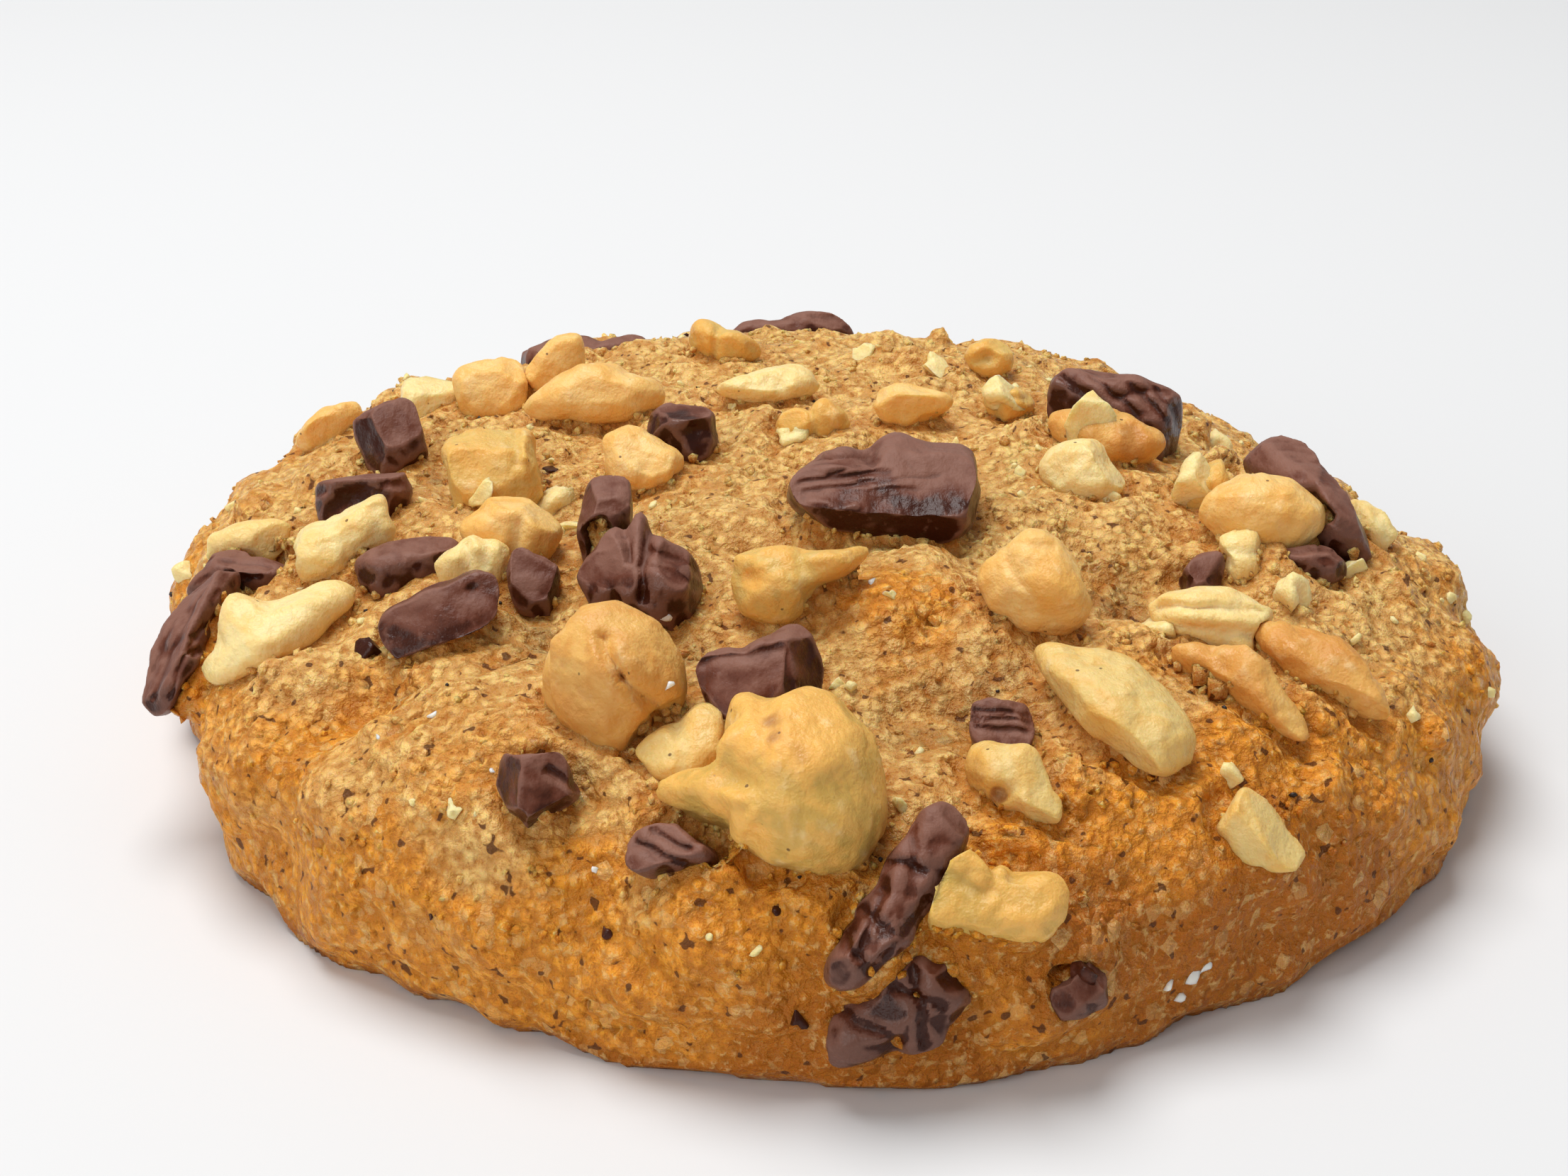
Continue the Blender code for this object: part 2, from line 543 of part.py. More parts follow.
def layout():
    """Every separate piece, the upper one of two neighbours first: where it lies (x, y and on the
    rim z), its length, width and height, its shape, and how it is turned."""
    return [
        # The front of the cookie
        nut(
            "peanut_hooked_front", (-2.2, -38.7), (10.1, 10.4, 10.2),
            {"detail": 3, "lobes": ((175, 2.6, 13), (152, -1.6, 12), (118, 1.0, 14), (96, -1.2, 7), (205, -0.8, 16))},
            lift=1.5, yaw=2, upright=0.15,
        ),
        melted(
            "chocolate_stick_front", (3.4, -44.6, 10.2), (11.2, 3.8, 3.8),
            {"detail": 3, "wobble": 0.4}, lift=0.7, yaw=57,
        ),
        chopped(
            "peanut_notched_front", (8.3, -44.2, 10.3), (8.0, 5.2, 4.2),
            {"pull": 0.2}, lift=1.0, yaw=-6,
        ),
        melted(
            "chocolate_lump_front", (3.6, -44.9, 5.0), (8.0, 4.4, 3.8),
            {"detail": 3, "wobble": 0.5}, lift=-0.2, yaw=38,
        ),
        chocolate("chocolate_chip_front", (12.6, -43.2, 5.3), (3.7, 3.4, 2.5), lift=0.1, yaw=20),
        chocolate(
            "chocolate_pyramid_front", (-15.7, -36.6), (4.8, 4.6, 4.6),
            {"narrow": 0.3, "pull": 0.1, "edge": 0.3}, lift=0.2, yaw=-12,
        ),
        chocolate("chocolate_flake_front", (-7.8, -40.8), (6.6, 2.8, 3.0), lift=0.0, yaw=10),
        chopped("peanut_behind_hooked", (-8.5, -34.6), (5.6, 4.6, 3.1), lift=0.1, yaw=30),
        nut(
            "peanut_split_round", (-11.7, -30.8), (7.6, 7.6, 8.8),
            {"detail": 3, "wobble": 0.3}, lift=1.5, yaw=-60,
        ),
        chocolate("chocolate_wedge_centre", (-3.7, -30.4), (7.5, 4.8, 5.0), lift=1.0, yaw=22, roll=-14),
        nut(
            "peanut_half_front_right", (15.6, -31.3), (10.5, 6.0, 4.7),
            {"detail": 3, "tip": -0.3, "flat": 0.3, "wobble": 0.15, "lobes": ((180, 1.2, 16),)},
            lift=0.7, yaw=-48,
        ),
        nut(
            "peanut_sliver_right", (23.6, -26.9), (10.2, 3.6, 3.8),
            {"tip": 0.5, "cuts": ((90, 35, 1.2),)}, lift=0.1, yaw=-40,
        ),
        nut(
            "peanut_half_right", (28.9, -23.8), (9.8, 4.2, 3.8),
            {"tip": 0.45, "flat": 0.3}, lift=0.1, yaw=-42,
        ),
        nut(
            "peanut_flat_right", (23.5, -20.5), (8.2, 4.3, 3.5),
            {"tip": 0.2, "bend": -0.8}, lift=0.6, yaw=-16,
        ),
        chopped("peanut_chunk_right_front", (22.9, -36.2), (6.6, 4.0, 3.6), lift=0.1, yaw=-30),
        nut("peanut_skin_front", (9.7, -36.7), (7.8, 3.5, 3.1), {"tip": 0.3}, lift=-0.1, yaw=-48),
        chocolate("chocolate_bit_centre", (9.6, -32.6), (3.6, 3.3, 3.1), lift=0.5, yaw=-20),
        # The left side
        nut(
            "peanut_leaf_left", (-33.2, -17.0), (10.6, 4.8, 3.8),
            {"detail": 3, "lobes": ((110, -1.2, 22), (150, 1.2, 12)), "flat": 0.2},
            lift=0.1, yaw=32,
        ),
        chocolate("chocolate_rim_left", (-42.0, -16.2, 10.6), (11.8, 4.2, 4.2), lift=0.1, yaw=72),
        chocolate("chocolate_ridge_left", (-37.4, -7.8), (7.6, 3.8, 3.2), lift=-0.1, yaw=-12),
        nut("peanut_sliver_left", (-37.1, -5.2), (6.3, 2.6, 3.0), lift=0.4, yaw=14),
        nut(
            "peanut_star_left", (-30.3, -9.4), (6.5, 6.0, 4.3),
            {"detail": 3, "lobes": ((60, 1.0, 14), (120, -0.8, 14), (200, 0.8, 14), (260, -0.8, 14), (320, 0.7, 14))},
            lift=1.1, yaw=30,
        ),
        chocolate(
            "chocolate_slab_left", (-22.8, -20.4), (7.8, 6.0, 3.6),
            {"pull": 0.2}, lift=0.6, yaw=24, roll=-16,
        ),
        chopped("peanut_crumbly_left", (-21.4, -15.4), (4.7, 2.5, 3.6), lift=0.7, yaw=8),
        chocolate("chocolate_plate_left", (-25.5, -12.9), (6.6, 3.2, 3.0), lift=0.1, yaw=16),
        chocolate("chocolate_cube_left", (-17.6, -17.2), (2.9, 3.1, 4.1), lift=0.9, yaw=-20),
        nut(
            "peanut_toasted_left", (-19.6, -12.0), (7.2, 4.8, 5.0),
            {"lobes": ((150, 0.6, 20),)}, lift=1.0, yaw=-14,
        ),
        chopped("peanut_dusted_left", (-21.3, -2.4), (6.8, 6.1, 5.9), {"pull": 0.25}, lift=0.7, yaw=12),
        chocolate("chocolate_saddle_left", (-30.1, -2.6), (6.7, 3.9, 3.3), lift=0.4, yaw=8),
        chocolate("chocolate_block_left", (-29.5, 6.7), (4.7, 4.9, 4.8), {"pull": 0.2}, lift=0.9, yaw=24),
        nut("peanut_rim_back_left", (-35.4, 14.0), (4.6, 3.8, 4.4), lift=0.6, yaw=40),
        # The middle
        lobed(
            "chocolate_slab_centre", (3.5, -10.4), (12.0, 10.0, 6.1),
            {"pull": 0.2}, lift=1.5, yaw=-4, roll=-10,
        ),
        twin("chocolate_ridged_centre", (-11.3, -17.9), (8.2, 7.1, 6.2), lift=1.2, yaw=-10),
        chocolate("chocolate_upright_left", (-13.5, -13.5), (3.9, 4.3, 6.2), lift=1.6, yaw=10),
        chopped("peanut_cube_left", (-11.8, -1.0), (5.7, 5.0, 4.3), {"pull": 0.3}, lift=0.3, yaw=-12),
        nut(
            "peanut_club_centre", (-1.3, -21.8), (8.9, 5.9, 6.1),
            {"tip": 0.75, "bend": 1.3, "detail": 3}, lift=1.5, yaw=14,
        ),
        nut(
            "peanut_half_centre", (12.2, -21.2), (7.2, 6.2, 6.6),
            {"detail": 3, "tip": 0.2, "flat": 0.2}, lift=1.5, yaw=-40,
        ),
        chocolate("chocolate_round_back", (-9.7, 2.8), (4.9, 4.2, 4.2), {"edge": 0.7}, lift=0.7, yaw=-8),
        nut(
            "peanut_chunk_centre", (17.2, -3.2), (5.7, 5.2, 4.6),
            {"cuts": ((40, 10, 2.4),)}, lift=0.7, yaw=-24,
        ),
        # The right side
        nut(
            "peanut_half_back_right", (27.5, -8.7), (8.6, 5.9, 6.0),
            {"flat": 0.2, "wobble": 0.15}, lift=1.5, yaw=-6,
        ),
        chocolate("chocolate_rim_right", (30.9, -4.6), (11.6, 3.2, 5.4), lift=1.2, yaw=104),
        chocolate("chocolate_plate_right", (30.3, -11.1), (5.6, 3.4, 2.8), lift=-0.1, yaw=2),
        chocolate("chocolate_oval_right", (23.0, -14.0), (3.2, 3.0, 2.8), {"edge": 0.6}, lift=0.2, yaw=20),
        chopped("peanut_chip_right", (25.9, -12.2), (3.8, 3.1, 2.8), lift=0.3, yaw=0),
        nut("peanut_under_right", (24.6, -4.0), (3.9, 3.7, 4.2), lift=1.0, yaw=20),
        nut("peanut_rim_right", (35.2, -4.6), (4.6, 3.4, 4.2), {"tip": 0.4}, lift=0.9, yaw=110),
        chocolate(
            "chocolate_slab_back_right", (20.4, 8.0), (8.6, 4.6, 6.2),
            {"pull": 0.25}, lift=1.1, yaw=-24,
        ),
        nut("peanut_toasted_right", (19.1, 2.5), (7.5, 4.8, 4.1), lift=0.9, yaw=-16),
        # The back
        nut(
            "peanut_half_back", (-15.4, 10.0), (10.2, 5.6, 5.0),
            {"flat": 0.2, "wobble": 0.12, "detail": 3}, lift=1.0, yaw=2,
        ),
        chopped("peanut_block_back_left", (-23.6, 15.1), (5.3, 3.9, 3.8), {"pull": 0.3}, lift=0.5, yaw=6),
        nut("peanut_leaning_back", (-18.9, 16.0), (4.0, 3.3, 5.6), lift=1.3, yaw=30, pitch=30),
        chocolate("chocolate_long_back_left", (-18.2, 30.0), (9.6, 3.6, 3.6), lift=-0.8, yaw=4),
        nut(
            "peanut_lobed_back", (-7.3, 23.2), (6.4, 4.2, 4.4),
            {"lobes": ((150, 0.8, 20),)}, lift=0.5, yaw=-34,
        ),
        nut(
            "peanut_pale_back", (-3.7, 12.5), (7.7, 4.4, 3.6),
            {"lobes": ((90, -0.5, 16),)}, lift=0.7, yaw=4,
        ),
        nut(
            "peanut_knob_back", (-1.0, 5.6), (4.8, 3.2, 3.6),
            {"lobes": ((20, 0.5, 20),)}, lift=0.1, yaw=-8,
        ),
        nut("peanut_pointed_back", (6.2, 7.6), (5.5, 4.5, 3.7), {"tip": 0.5}, lift=0.7, yaw=0),
        chocolate("chocolate_long_back", (-2.2, 37.0), (10.6, 4.0, 4.0), lift=-0.4, yaw=-2),
        nut("peanut_ring_back_right", (12.7, 20.2), (4.7, 3.8, 3.4), lift=0.6, yaw=0),
        chopped("peanut_bit_back_right", (13.0, 10.4), (4.0, 3.6, 3.1), lift=0.5, yaw=-30),
    ]


def build_piece(entry, collection, materials):
    name, material, shape_of, size, shape, where, placing = entry
    seed = sum(map(ord, name)) % 97
    bm = shape_of(size, seed, **shape)
    place(bm, *where, **placing)
    bmesh.ops.recalc_face_normals(bm, faces=bm.faces)
    return object_from(bm, name, collection, materials[material])


def thin_piece(obj, entry):
    size = entry[3]
    thin_out(obj, LARGE_PIECE_TRIANGLES if max(size) > LARGE_PIECE else PIECE_TRIANGLES)


def grown_copy(obj, collection):
    """The cutter of a piece: its shape swollen by the gap all round."""
    bm = bmesh.new()
    bm.from_mesh(obj.data)
    bm.normal_update()
    moves = [vert.normal * min(vert.calc_shell_factor(), 2.0) * GAP * MM for vert in bm.verts]
    for vert, move in zip(bm.verts, moves):
        vert.co += move
    cutter = object_from(bm, obj.name + ".cutter", collection)
    cutter.hide_render = True
    cutter.display_type = "WIRE"
    return cutter


def tree_of(obj):
    bm = bmesh.new()
    bm.from_mesh(obj.data)
    tree = BVHTree.FromBMesh(bm)
    bm.free()
    return tree


def cut(obj, other):
    modifier = obj.modifiers.new("cut", "BOOLEAN")
    modifier.operation = "DIFFERENCE"
    modifier.solver = BOOLEAN_SOLVER
    modifier.object = other


def build_pieces(collection, cutters, materials):
    """Builds every piece, each one cut back where an earlier piece already lies."""
    done = []
    for entry in layout():
        obj = build_piece(entry, collection, materials)
        thin_piece(obj, entry)
        tree = tree_of(obj)
        touching = [cutter for cutter, other in done if other.overlap(tree)]
        for cutter in touching:
            cut(obj, cutter)
        if touching:
            bake_modifiers(obj)
            tidy_mesh(obj)
            thin_piece(obj, entry)
        cutter = grown_copy(obj, cutters)
        done.append((cutter, tree_of(cutter)))


def press_pockets(dough, cutters):
    modifier = dough.modifiers.new("pockets", "BOOLEAN")
    modifier.operation = "DIFFERENCE"
    modifier.solver = BOOLEAN_SOLVER
    modifier.operand_type = "COLLECTION"
    modifier.collection = cutters
    bake_modifiers(dough)
    tidy_mesh(dough)
    thin_out(dough, POCKETED_TRIANGLES)


def centre_over_origin(objects):
    """Slides everything so that the middle of the whole outline is over the origin."""
    corners = [vert.co for obj in objects for vert in obj.data.vertices]
    low = [min(corner[axis] for corner in corners) for axis in (0, 1)]
    high = [max(corner[axis] for corner in corners) for axis in (0, 1)]
    shift = Matrix.Translation((-(low[0] + high[0]) / 2, -(low[1] + high[1]) / 2, 0))
    for obj in objects:
        obj.data.transform(shift)
    print("slid by", [round(value / MM, 3) for value in shift.translation])


def main():
    clear_scene()
    cookie = new_collection("peanut_butter_cookie")
    cutters = new_collection("cutters")
    materials = {name: new_material(name) for name in MATERIALS}
    build_pieces(cookie, cutters, materials)
    dough = build_dough(cookie, materials["dough"])
    join_crumbs(dough)
    press_pockets(dough, cutters)
    for cutter in list(cutters.objects):
        bpy.data.objects.remove(cutter)
    centre_over_origin(list(cookie.objects))
    for obj in cookie.objects:
        obj.data.shade_smooth()
        obj.data.set_sharp_from_angle(angle=math.radians(40))


if __name__ == "__main__":
    main()
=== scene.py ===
# %% [markdown]
# # A peanut butter cookie with chopped peanuts and dark chocolate
# One thick round of crumbly dough, pressed full of chopped peanuts and dark chocolate chunks. The solids
# of the cookie are packed already: `dough`, and one node for each larger nut piece and chunk. This
# lesson gives each of them its baked surface: sandy crumb, waxy nuts, bloomed chocolate, loose crumbs.
# Places and sizes are in millimetres wherever a cook would use them, and become metres through MM.
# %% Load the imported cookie
import math
import random

import bmesh
import bpy
import numpy as np
from mathutils import Matrix, Vector, noise
from mathutils.bvhtree import BVHTree


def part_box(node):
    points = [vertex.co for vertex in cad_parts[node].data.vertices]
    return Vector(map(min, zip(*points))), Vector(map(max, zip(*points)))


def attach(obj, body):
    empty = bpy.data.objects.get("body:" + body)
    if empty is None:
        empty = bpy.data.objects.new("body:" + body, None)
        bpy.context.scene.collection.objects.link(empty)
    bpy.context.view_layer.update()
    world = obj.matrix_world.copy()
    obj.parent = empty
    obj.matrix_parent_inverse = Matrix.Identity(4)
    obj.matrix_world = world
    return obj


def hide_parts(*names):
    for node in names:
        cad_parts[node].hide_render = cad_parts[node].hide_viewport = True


MM = 0.001
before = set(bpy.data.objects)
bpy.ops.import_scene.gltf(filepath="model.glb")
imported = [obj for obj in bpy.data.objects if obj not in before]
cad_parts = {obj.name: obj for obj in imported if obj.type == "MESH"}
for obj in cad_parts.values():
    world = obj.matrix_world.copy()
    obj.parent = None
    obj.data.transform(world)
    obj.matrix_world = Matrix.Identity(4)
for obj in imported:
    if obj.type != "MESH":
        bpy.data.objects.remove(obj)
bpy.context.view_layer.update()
nut_nodes = sorted(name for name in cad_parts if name.startswith("peanut_"))
chunk_nodes = sorted(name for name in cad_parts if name.startswith("chocolate_"))

# %% [markdown]
# ## The camera
# A photographer's close view: from a little above the table, through a short tele lens. The cookie is
# seen 25 degrees from the side, so its near rim shows as much as its top. The camera's place
# is worked out from the distance and the height angle; a camera could also be aimed by a Track To constraint.
# %% Place the camera
CAMERA_DISTANCE = 180 * MM
CAMERA_ELEVATION = math.radians(26.0)
CAMERA_PITCH = math.radians(24.9)
CAMERA_AIM = Vector((-2.04, 0.63, 5.0)) * MM
LENS = 60.05
SENSOR_WIDTH = 36.0
NEAREST_SEEN = 10 * MM

camera = bpy.data.objects.new("camera", bpy.data.cameras.new("camera"))
back = Vector((0, -math.cos(CAMERA_ELEVATION), math.sin(CAMERA_ELEVATION)))
camera.location = CAMERA_AIM + back * CAMERA_DISTANCE
camera.rotation_euler = (math.pi / 2 - CAMERA_PITCH, 0, 0)
camera.data.lens = LENS
camera.data.sensor_width = SENSOR_WIDTH
camera.data.clip_start = NEAREST_SEEN
bpy.context.scene.collection.objects.link(camera)
bpy.context.scene.camera = camera
print("camera at", [round(part / MM) for part in camera.location], "mm")

# %% [markdown]
# ## Floor and light
# The cookie lies on white card in a light tent. A large soft lamp hangs nearly overhead, a little behind and
# to the left, so the near rim is in soft shade and the shadow falls to the lower right. A weaker one from the
# front left opens the shade. The white world is the tent: chocolate and nuts need something bright to mirror.
# Small lamps would give hard specks instead. The lamps' places are in metres.
# %% Make the floor, the lamps and the world
FLOOR_SIDE = 8.0
KEY_PLACE = Vector((-0.12, 0.12, 0.66))
KEY_SIDE = 0.45
KEY_WATTS = 4.0
FILL_PLACE = Vector((-0.34, -0.44, 0.30))
FILL_SIDE = 0.4
FILL_WATTS = 1.0
TENT_WHITE = (1.0, 1.0, 1.0, 1.0)
TENT_STRENGTH = 0.33


def linked(name, data):
    obj = bpy.data.objects.new(name, data)
    bpy.context.scene.collection.objects.link(obj)
    return obj


def soft_lamp(name, place, side, watts):
    lamp = linked(name, bpy.data.lights.new(name, "AREA"))
    lamp.data.shape = "DISK"
    lamp.data.size = side
    lamp.data.energy = watts
    lamp.location = place
    lamp.rotation_euler = (-place).to_track_quat("-Z", "Y").to_euler()
    return lamp


def object_of(bm, name):
    """An object from a bmesh, which is freed."""
    mesh = bpy.data.meshes.new(name)
    bm.to_mesh(mesh)
    bm.free()
    return linked(name, mesh)


bm = bmesh.new()
bmesh.ops.create_grid(bm, x_segments=1, y_segments=1, size=FLOOR_SIDE / 2)
floor = object_of(bm, "floor")
key = soft_lamp("key lamp", KEY_PLACE, KEY_SIDE, KEY_WATTS)
fill = soft_lamp("fill lamp", FILL_PLACE, FILL_SIDE, FILL_WATTS)
world = bpy.data.worlds.new("light tent")
world.use_nodes = True
tent = world.node_tree.nodes["Background"].inputs
tent["Color"].default_value = TENT_WHITE
tent["Strength"].default_value = TENT_STRENGTH
bpy.context.scene.world = world
bpy.context.scene.view_settings.view_transform = "Standard"
print("lamps:", key.data.energy, "W and", fill.data.energy, "W")

# %% [markdown]
# ## Words for materials
# Every finish here is procedural: noise and cell patterns on object coordinates, and values stored on the
# points of the mesh. These short helpers each add one node, so that a recipe further down reads as a list
# of what is seen: patches, flecks, cracks, grain.
# %% Define the material helpers
CARD_WHITE = (0.765, 0.770, 0.775)


class Recipe:
    """One material under construction: its tree, its shader and its object coordinates."""

    def __init__(self, name):
        self.material = bpy.data.materials.new(name)
        self.material.use_nodes = True
        self.tree = self.material.node_tree
        self.shader = self.tree.nodes["Principled BSDF"]
        self.coordinates = self.tree.nodes.new("ShaderNodeTexCoord").outputs["Object"]
        self.bump = None

    def put(self, socket, value):
        if isinstance(value, bpy.types.NodeSocket):
            self.tree.links.new(value, socket)
        elif isinstance(value, tuple) and socket.type == "RGBA":
            socket.default_value = (*value, 1.0)
        else:
            socket.default_value = value

    def set(self, **values):
        for name, value in values.items():
            self.put(self.shader.inputs[name.replace("_", " ")], value)

    def node(self, kind, inputs, **settings):
        """The outputs of a new node, with these settings and a value or a link on each of these inputs."""
        node = self.tree.nodes.new("ShaderNode" + kind)
        for setting, value in settings.items():
            setattr(node, setting, value)
        for name, value in inputs.items():
            self.put(node.inputs[name], value)
        return node.outputs

    def stretched(self, scale, turn):
        """Object coordinates pulled out along an axis, for marks that run one way."""
        turn = tuple(map(math.radians, turn))
        return self.node("Mapping", {"Vector": self.coordinates, "Scale": scale, "Rotation": turn})["Vector"]

    def noise(self, size, detail=3.0, rough=0.55, twist=0.0, along=None):
        """Cloudy noise whose blobs are about size millimetres wide."""
        inputs = {"Vector": along or self.coordinates, "Scale": 1 / (size * MM)}
        inputs.update({"Detail": detail, "Roughness": rough, "Distortion": twist})
        return self.node("TexNoise", inputs)["Fac"]

    def cells(self, size, output="Distance", along=None):
        """Cells about size millimetres wide: the distance from their middles, or one colour for each."""
        inputs = {"Vector": along or self.coordinates, "Scale": 1 / (size * MM)}
        return self.node("TexVoronoi", inputs)[output]

    def warped(self, size, amount):
        """Object coordinates pushed about by up to amount millimetres, so that cells get crooked sides."""
        blobs = self.node("TexNoise", {"Vector": self.coordinates, "Scale": 1 / (size * MM), "Detail": 2.0})
        inputs = {0: blobs["Color"], 1: (amount * MM,) * 3, 2: self.coordinates}
        return self.node("VectorMath", inputs, operation="MULTIPLY_ADD")["Vector"]

    def stored(self, name):
        return self.node("Attribute", {}, attribute_name=name)["Fac"]

    def range(self, value, low, high, to_low=0.0, to_high=1.0):
        """Maps low..high smoothly to to_low..to_high."""
        inputs = {"Value": value, "From Min": low, "From Max": high, "To Min": to_low, "To Max": to_high}
        return self.node("MapRange", inputs, interpolation_type="SMOOTHSTEP")["Result"]

    def math(self, operation, first, second):
        return self.node("Math", {0: first, 1: second}, operation=operation)["Value"]

    def mix(self, share, first, second):
        return self.node("Mix", {"Factor": share, 6: first, 7: second}, data_type="RGBA")[2]

    def add_bump(self, height, depth, strength=1.0):
        """Relief of about depth millimetres, on top of the bumps that are there already."""
        inputs = {"Strength": strength, "Distance": depth * MM, "Height": height}
        if self.bump:
            inputs["Normal"] = self.bump
        self.bump = self.node("Bump", inputs)["Normal"]
        self.set(Normal=self.bump)


card = Recipe("white card")
card.set(Base_Color=CARD_WHITE, Roughness=0.9)
floor.data.materials.append(card.material)
print("first material:", card.material.name)

# %% [markdown]
# ## The finish of the dough
# Baked peanut butter dough is a sandy crumb: fat and sugar make it a little see-through, so light sinks in
# and comes out orange-tan. Up high the dough is paler, and at the foot of the rim browner. The cracks, the
# creases between the granules and a few short dashes in them are painted darker as shade, and the high
# spots of the fine grain are painted paler as highlight. How brown each point is, how much greyish shade
# is painted in its dip, where the dough is moister, and how much shade or light is painted on its crumb,
# are stored on the mesh by the cells that shape the dough.
# %% Mix the dough material
PALE_DOUGH = (0.96, 0.640, 0.225)
TAN_DOUGH = (0.97, 0.385, 0.036)
BROWN_DOUGH = (0.50, 0.145, 0.009)
CREVICE_SHADE = (0.46, 0.145, 0.010)
FLAKE_AND_HIGHLIGHT = (0.95, 0.64, 0.25)
CRACK_SHADE = (0.10, 0.026, 0.004)
OLIVE_SHADE = (0.34, 0.215, 0.080)
PATCH_SIZE = 6.0
TINT_SIZE = 1.7
GRAIN_SIZE = 0.60
GRANULE_SIZE = 0.80
DASH_SPACING = 0.9
BEND_SIZE = 0.9
BEND = 0.35
DOUGH_GLOW = (1.0, 0.42, 0.12)
DOUGH_GLOW_DEPTH = 0.7
DOUGH_GLOW_SHARE = 0.45
DOUGH_SHEEN = 0.20
CRUMB_DEPTH = 0.38


def dough_material(name, paler=0.0):
    recipe = Recipe(name)
    patches = recipe.noise(PATCH_SIZE, detail=4.0, rough=0.6)
    browning_and_shade = recipe.math("ADD", recipe.stored("browning_and_shade"), recipe.range(patches, 0.3, 0.7, -0.22, 0.22))
    colour = recipe.mix(recipe.range(browning_and_shade, 0.10, 0.62), PALE_DOUGH, TAN_DOUGH)
    colour = recipe.mix(recipe.range(browning_and_shade, 0.75, 1.50), colour, BROWN_DOUGH)
    # Painted shade: greyish olive in the dips between the toppings, where the dough is also moister.
    colour = recipe.mix(recipe.stored("hollow_shade"), colour, OLIVE_SHADE)
    tint = recipe.range(recipe.noise(TINT_SIZE, detail=4.0, rough=0.65, twist=0.5), 0.42, 0.66, 0.0, 0.20)
    colour = recipe.mix(tint, colour, BROWN_DOUGH)
    # Painted shade from the stored crumb shading: darker in the cracks and in the seams beside the toppings.
    colour = recipe.mix(recipe.range(recipe.stored("crumb"), 0.0, -0.9, 0.0, 0.65), colour, CREVICE_SHADE)
    grain = recipe.noise(GRAIN_SIZE, detail=3.0, rough=0.65)
    # Painted shade on the low spots of the fine grain and painted highlight on its high spots; the grain is
    # the bump too.
    colour = recipe.mix(recipe.range(grain, 0.48, 0.32, 0.0, 0.70), colour, CREVICE_SHADE)
    colour = recipe.mix(recipe.range(grain, 0.52, 0.66, 0.0, 0.50 + paler), colour, FLAKE_AND_HIGHLIGHT)
    bent = recipe.warped(BEND_SIZE, BEND)
    granules = recipe.cells(GRANULE_SIZE, along=bent)
    kinds = recipe.cells(GRANULE_SIZE, output="Color", along=bent)
    # Painted shade in the creases between the granules; then paler granules at random.
    crease_shade = recipe.range(granules, 0.32, 0.72)
    colour = recipe.mix(recipe.math("MULTIPLY", crease_shade, 0.55), colour, CREVICE_SHADE)
    colour = recipe.mix(recipe.range(kinds, 0.70, 0.95, 0.0, 0.40), colour, FLAKE_AND_HIGHLIGHT)
    # Painted shade: short dark dashes in some of the creases between the granules.
    spots = recipe.range(recipe.noise(DASH_SPACING, detail=1.0), 0.64, 0.68)
    shaded_dashes = recipe.math("MULTIPLY", recipe.range(granules, 0.52, 0.62), spots)
    colour = recipe.mix(recipe.math("MULTIPLY", shaded_dashes, 0.85), colour, CRACK_SHADE)
    recipe.set(
        Base_Color=colour, Roughness=recipe.range(kinds, 0.2, 0.95, 0.55, 0.20),
        Subsurface_Weight=DOUGH_GLOW_SHARE, Subsurface_Radius=DOUGH_GLOW,
        Subsurface_Scale=DOUGH_GLOW_DEPTH * MM, Specular_IOR_Level=DOUGH_SHEEN,
    )
    crumbly = recipe.range(patches, 0.35, 0.6, 0.3, 1.0)
    domes = recipe.math("MULTIPLY", recipe.range(granules, 0.10, 0.75, 1.0, 0.0), crumbly)
    height = recipe.math("ADD", domes, recipe.math("MULTIPLY", kinds, 0.45))
    height = recipe.math("ADD", height, recipe.math("MULTIPLY", grain, 1.6))
    recipe.add_bump(height, CRUMB_DEPTH)
    return recipe.material


dough_finish = dough_material("baked dough")
crumb_finish = dough_material("pale crumbs", paler=0.25)
print("dough materials:", dough_finish.name, "and", crumb_finish.name)

# %% [markdown]
# ## Measuring on the meshes
# Relief is added point by point: each point moves along its normal by an amount that noise gives. Blender's
# Displace modifier does the same, but here the amounts also depend on how near a nut is, and the same
# numbers colour the crumb, so they are worked out once with arrays.
# %% Define the mesh helpers
MERGE_DISTANCE = 0.001 * MM
SMOOTHING_SHARE = 0.5
GRAIN_STEEPNESS = 1.6


def merged_copy(node):
    """A closed copy of a CAD node's mesh, whose loose triangles are merged."""
    bm = bmesh.new()
    bm.from_mesh(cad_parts[node].data)
    bmesh.ops.remove_doubles(bm, verts=bm.verts, dist=MERGE_DISTANCE)
    return bm


def baked(obj):
    """Applies the object's modifiers to its mesh."""
    graph = bpy.context.evaluated_depsgraph_get()
    mesh = bpy.data.meshes.new_from_object(obj.evaluated_get(graph))
    obj.modifiers.clear()
    obj.data = mesh
    return obj


def soften(obj, rounds):
    """Rounds of smoothing, after the modifiers that the object has already."""
    smooth = obj.modifiers.new("softened", "SMOOTH")
    smooth.factor = SMOOTHING_SHARE
    smooth.iterations = rounds
    return baked(obj)


def remeshed(obj, voxel, rounds):
    """Even quads of voxel millimetres all over the object, then rounds of smoothing."""
    remesh = obj.modifiers.new("even quads", "REMESH")
    remesh.mode = "VOXEL"
    remesh.voxel_size = voxel * MM
    return soften(obj, rounds)


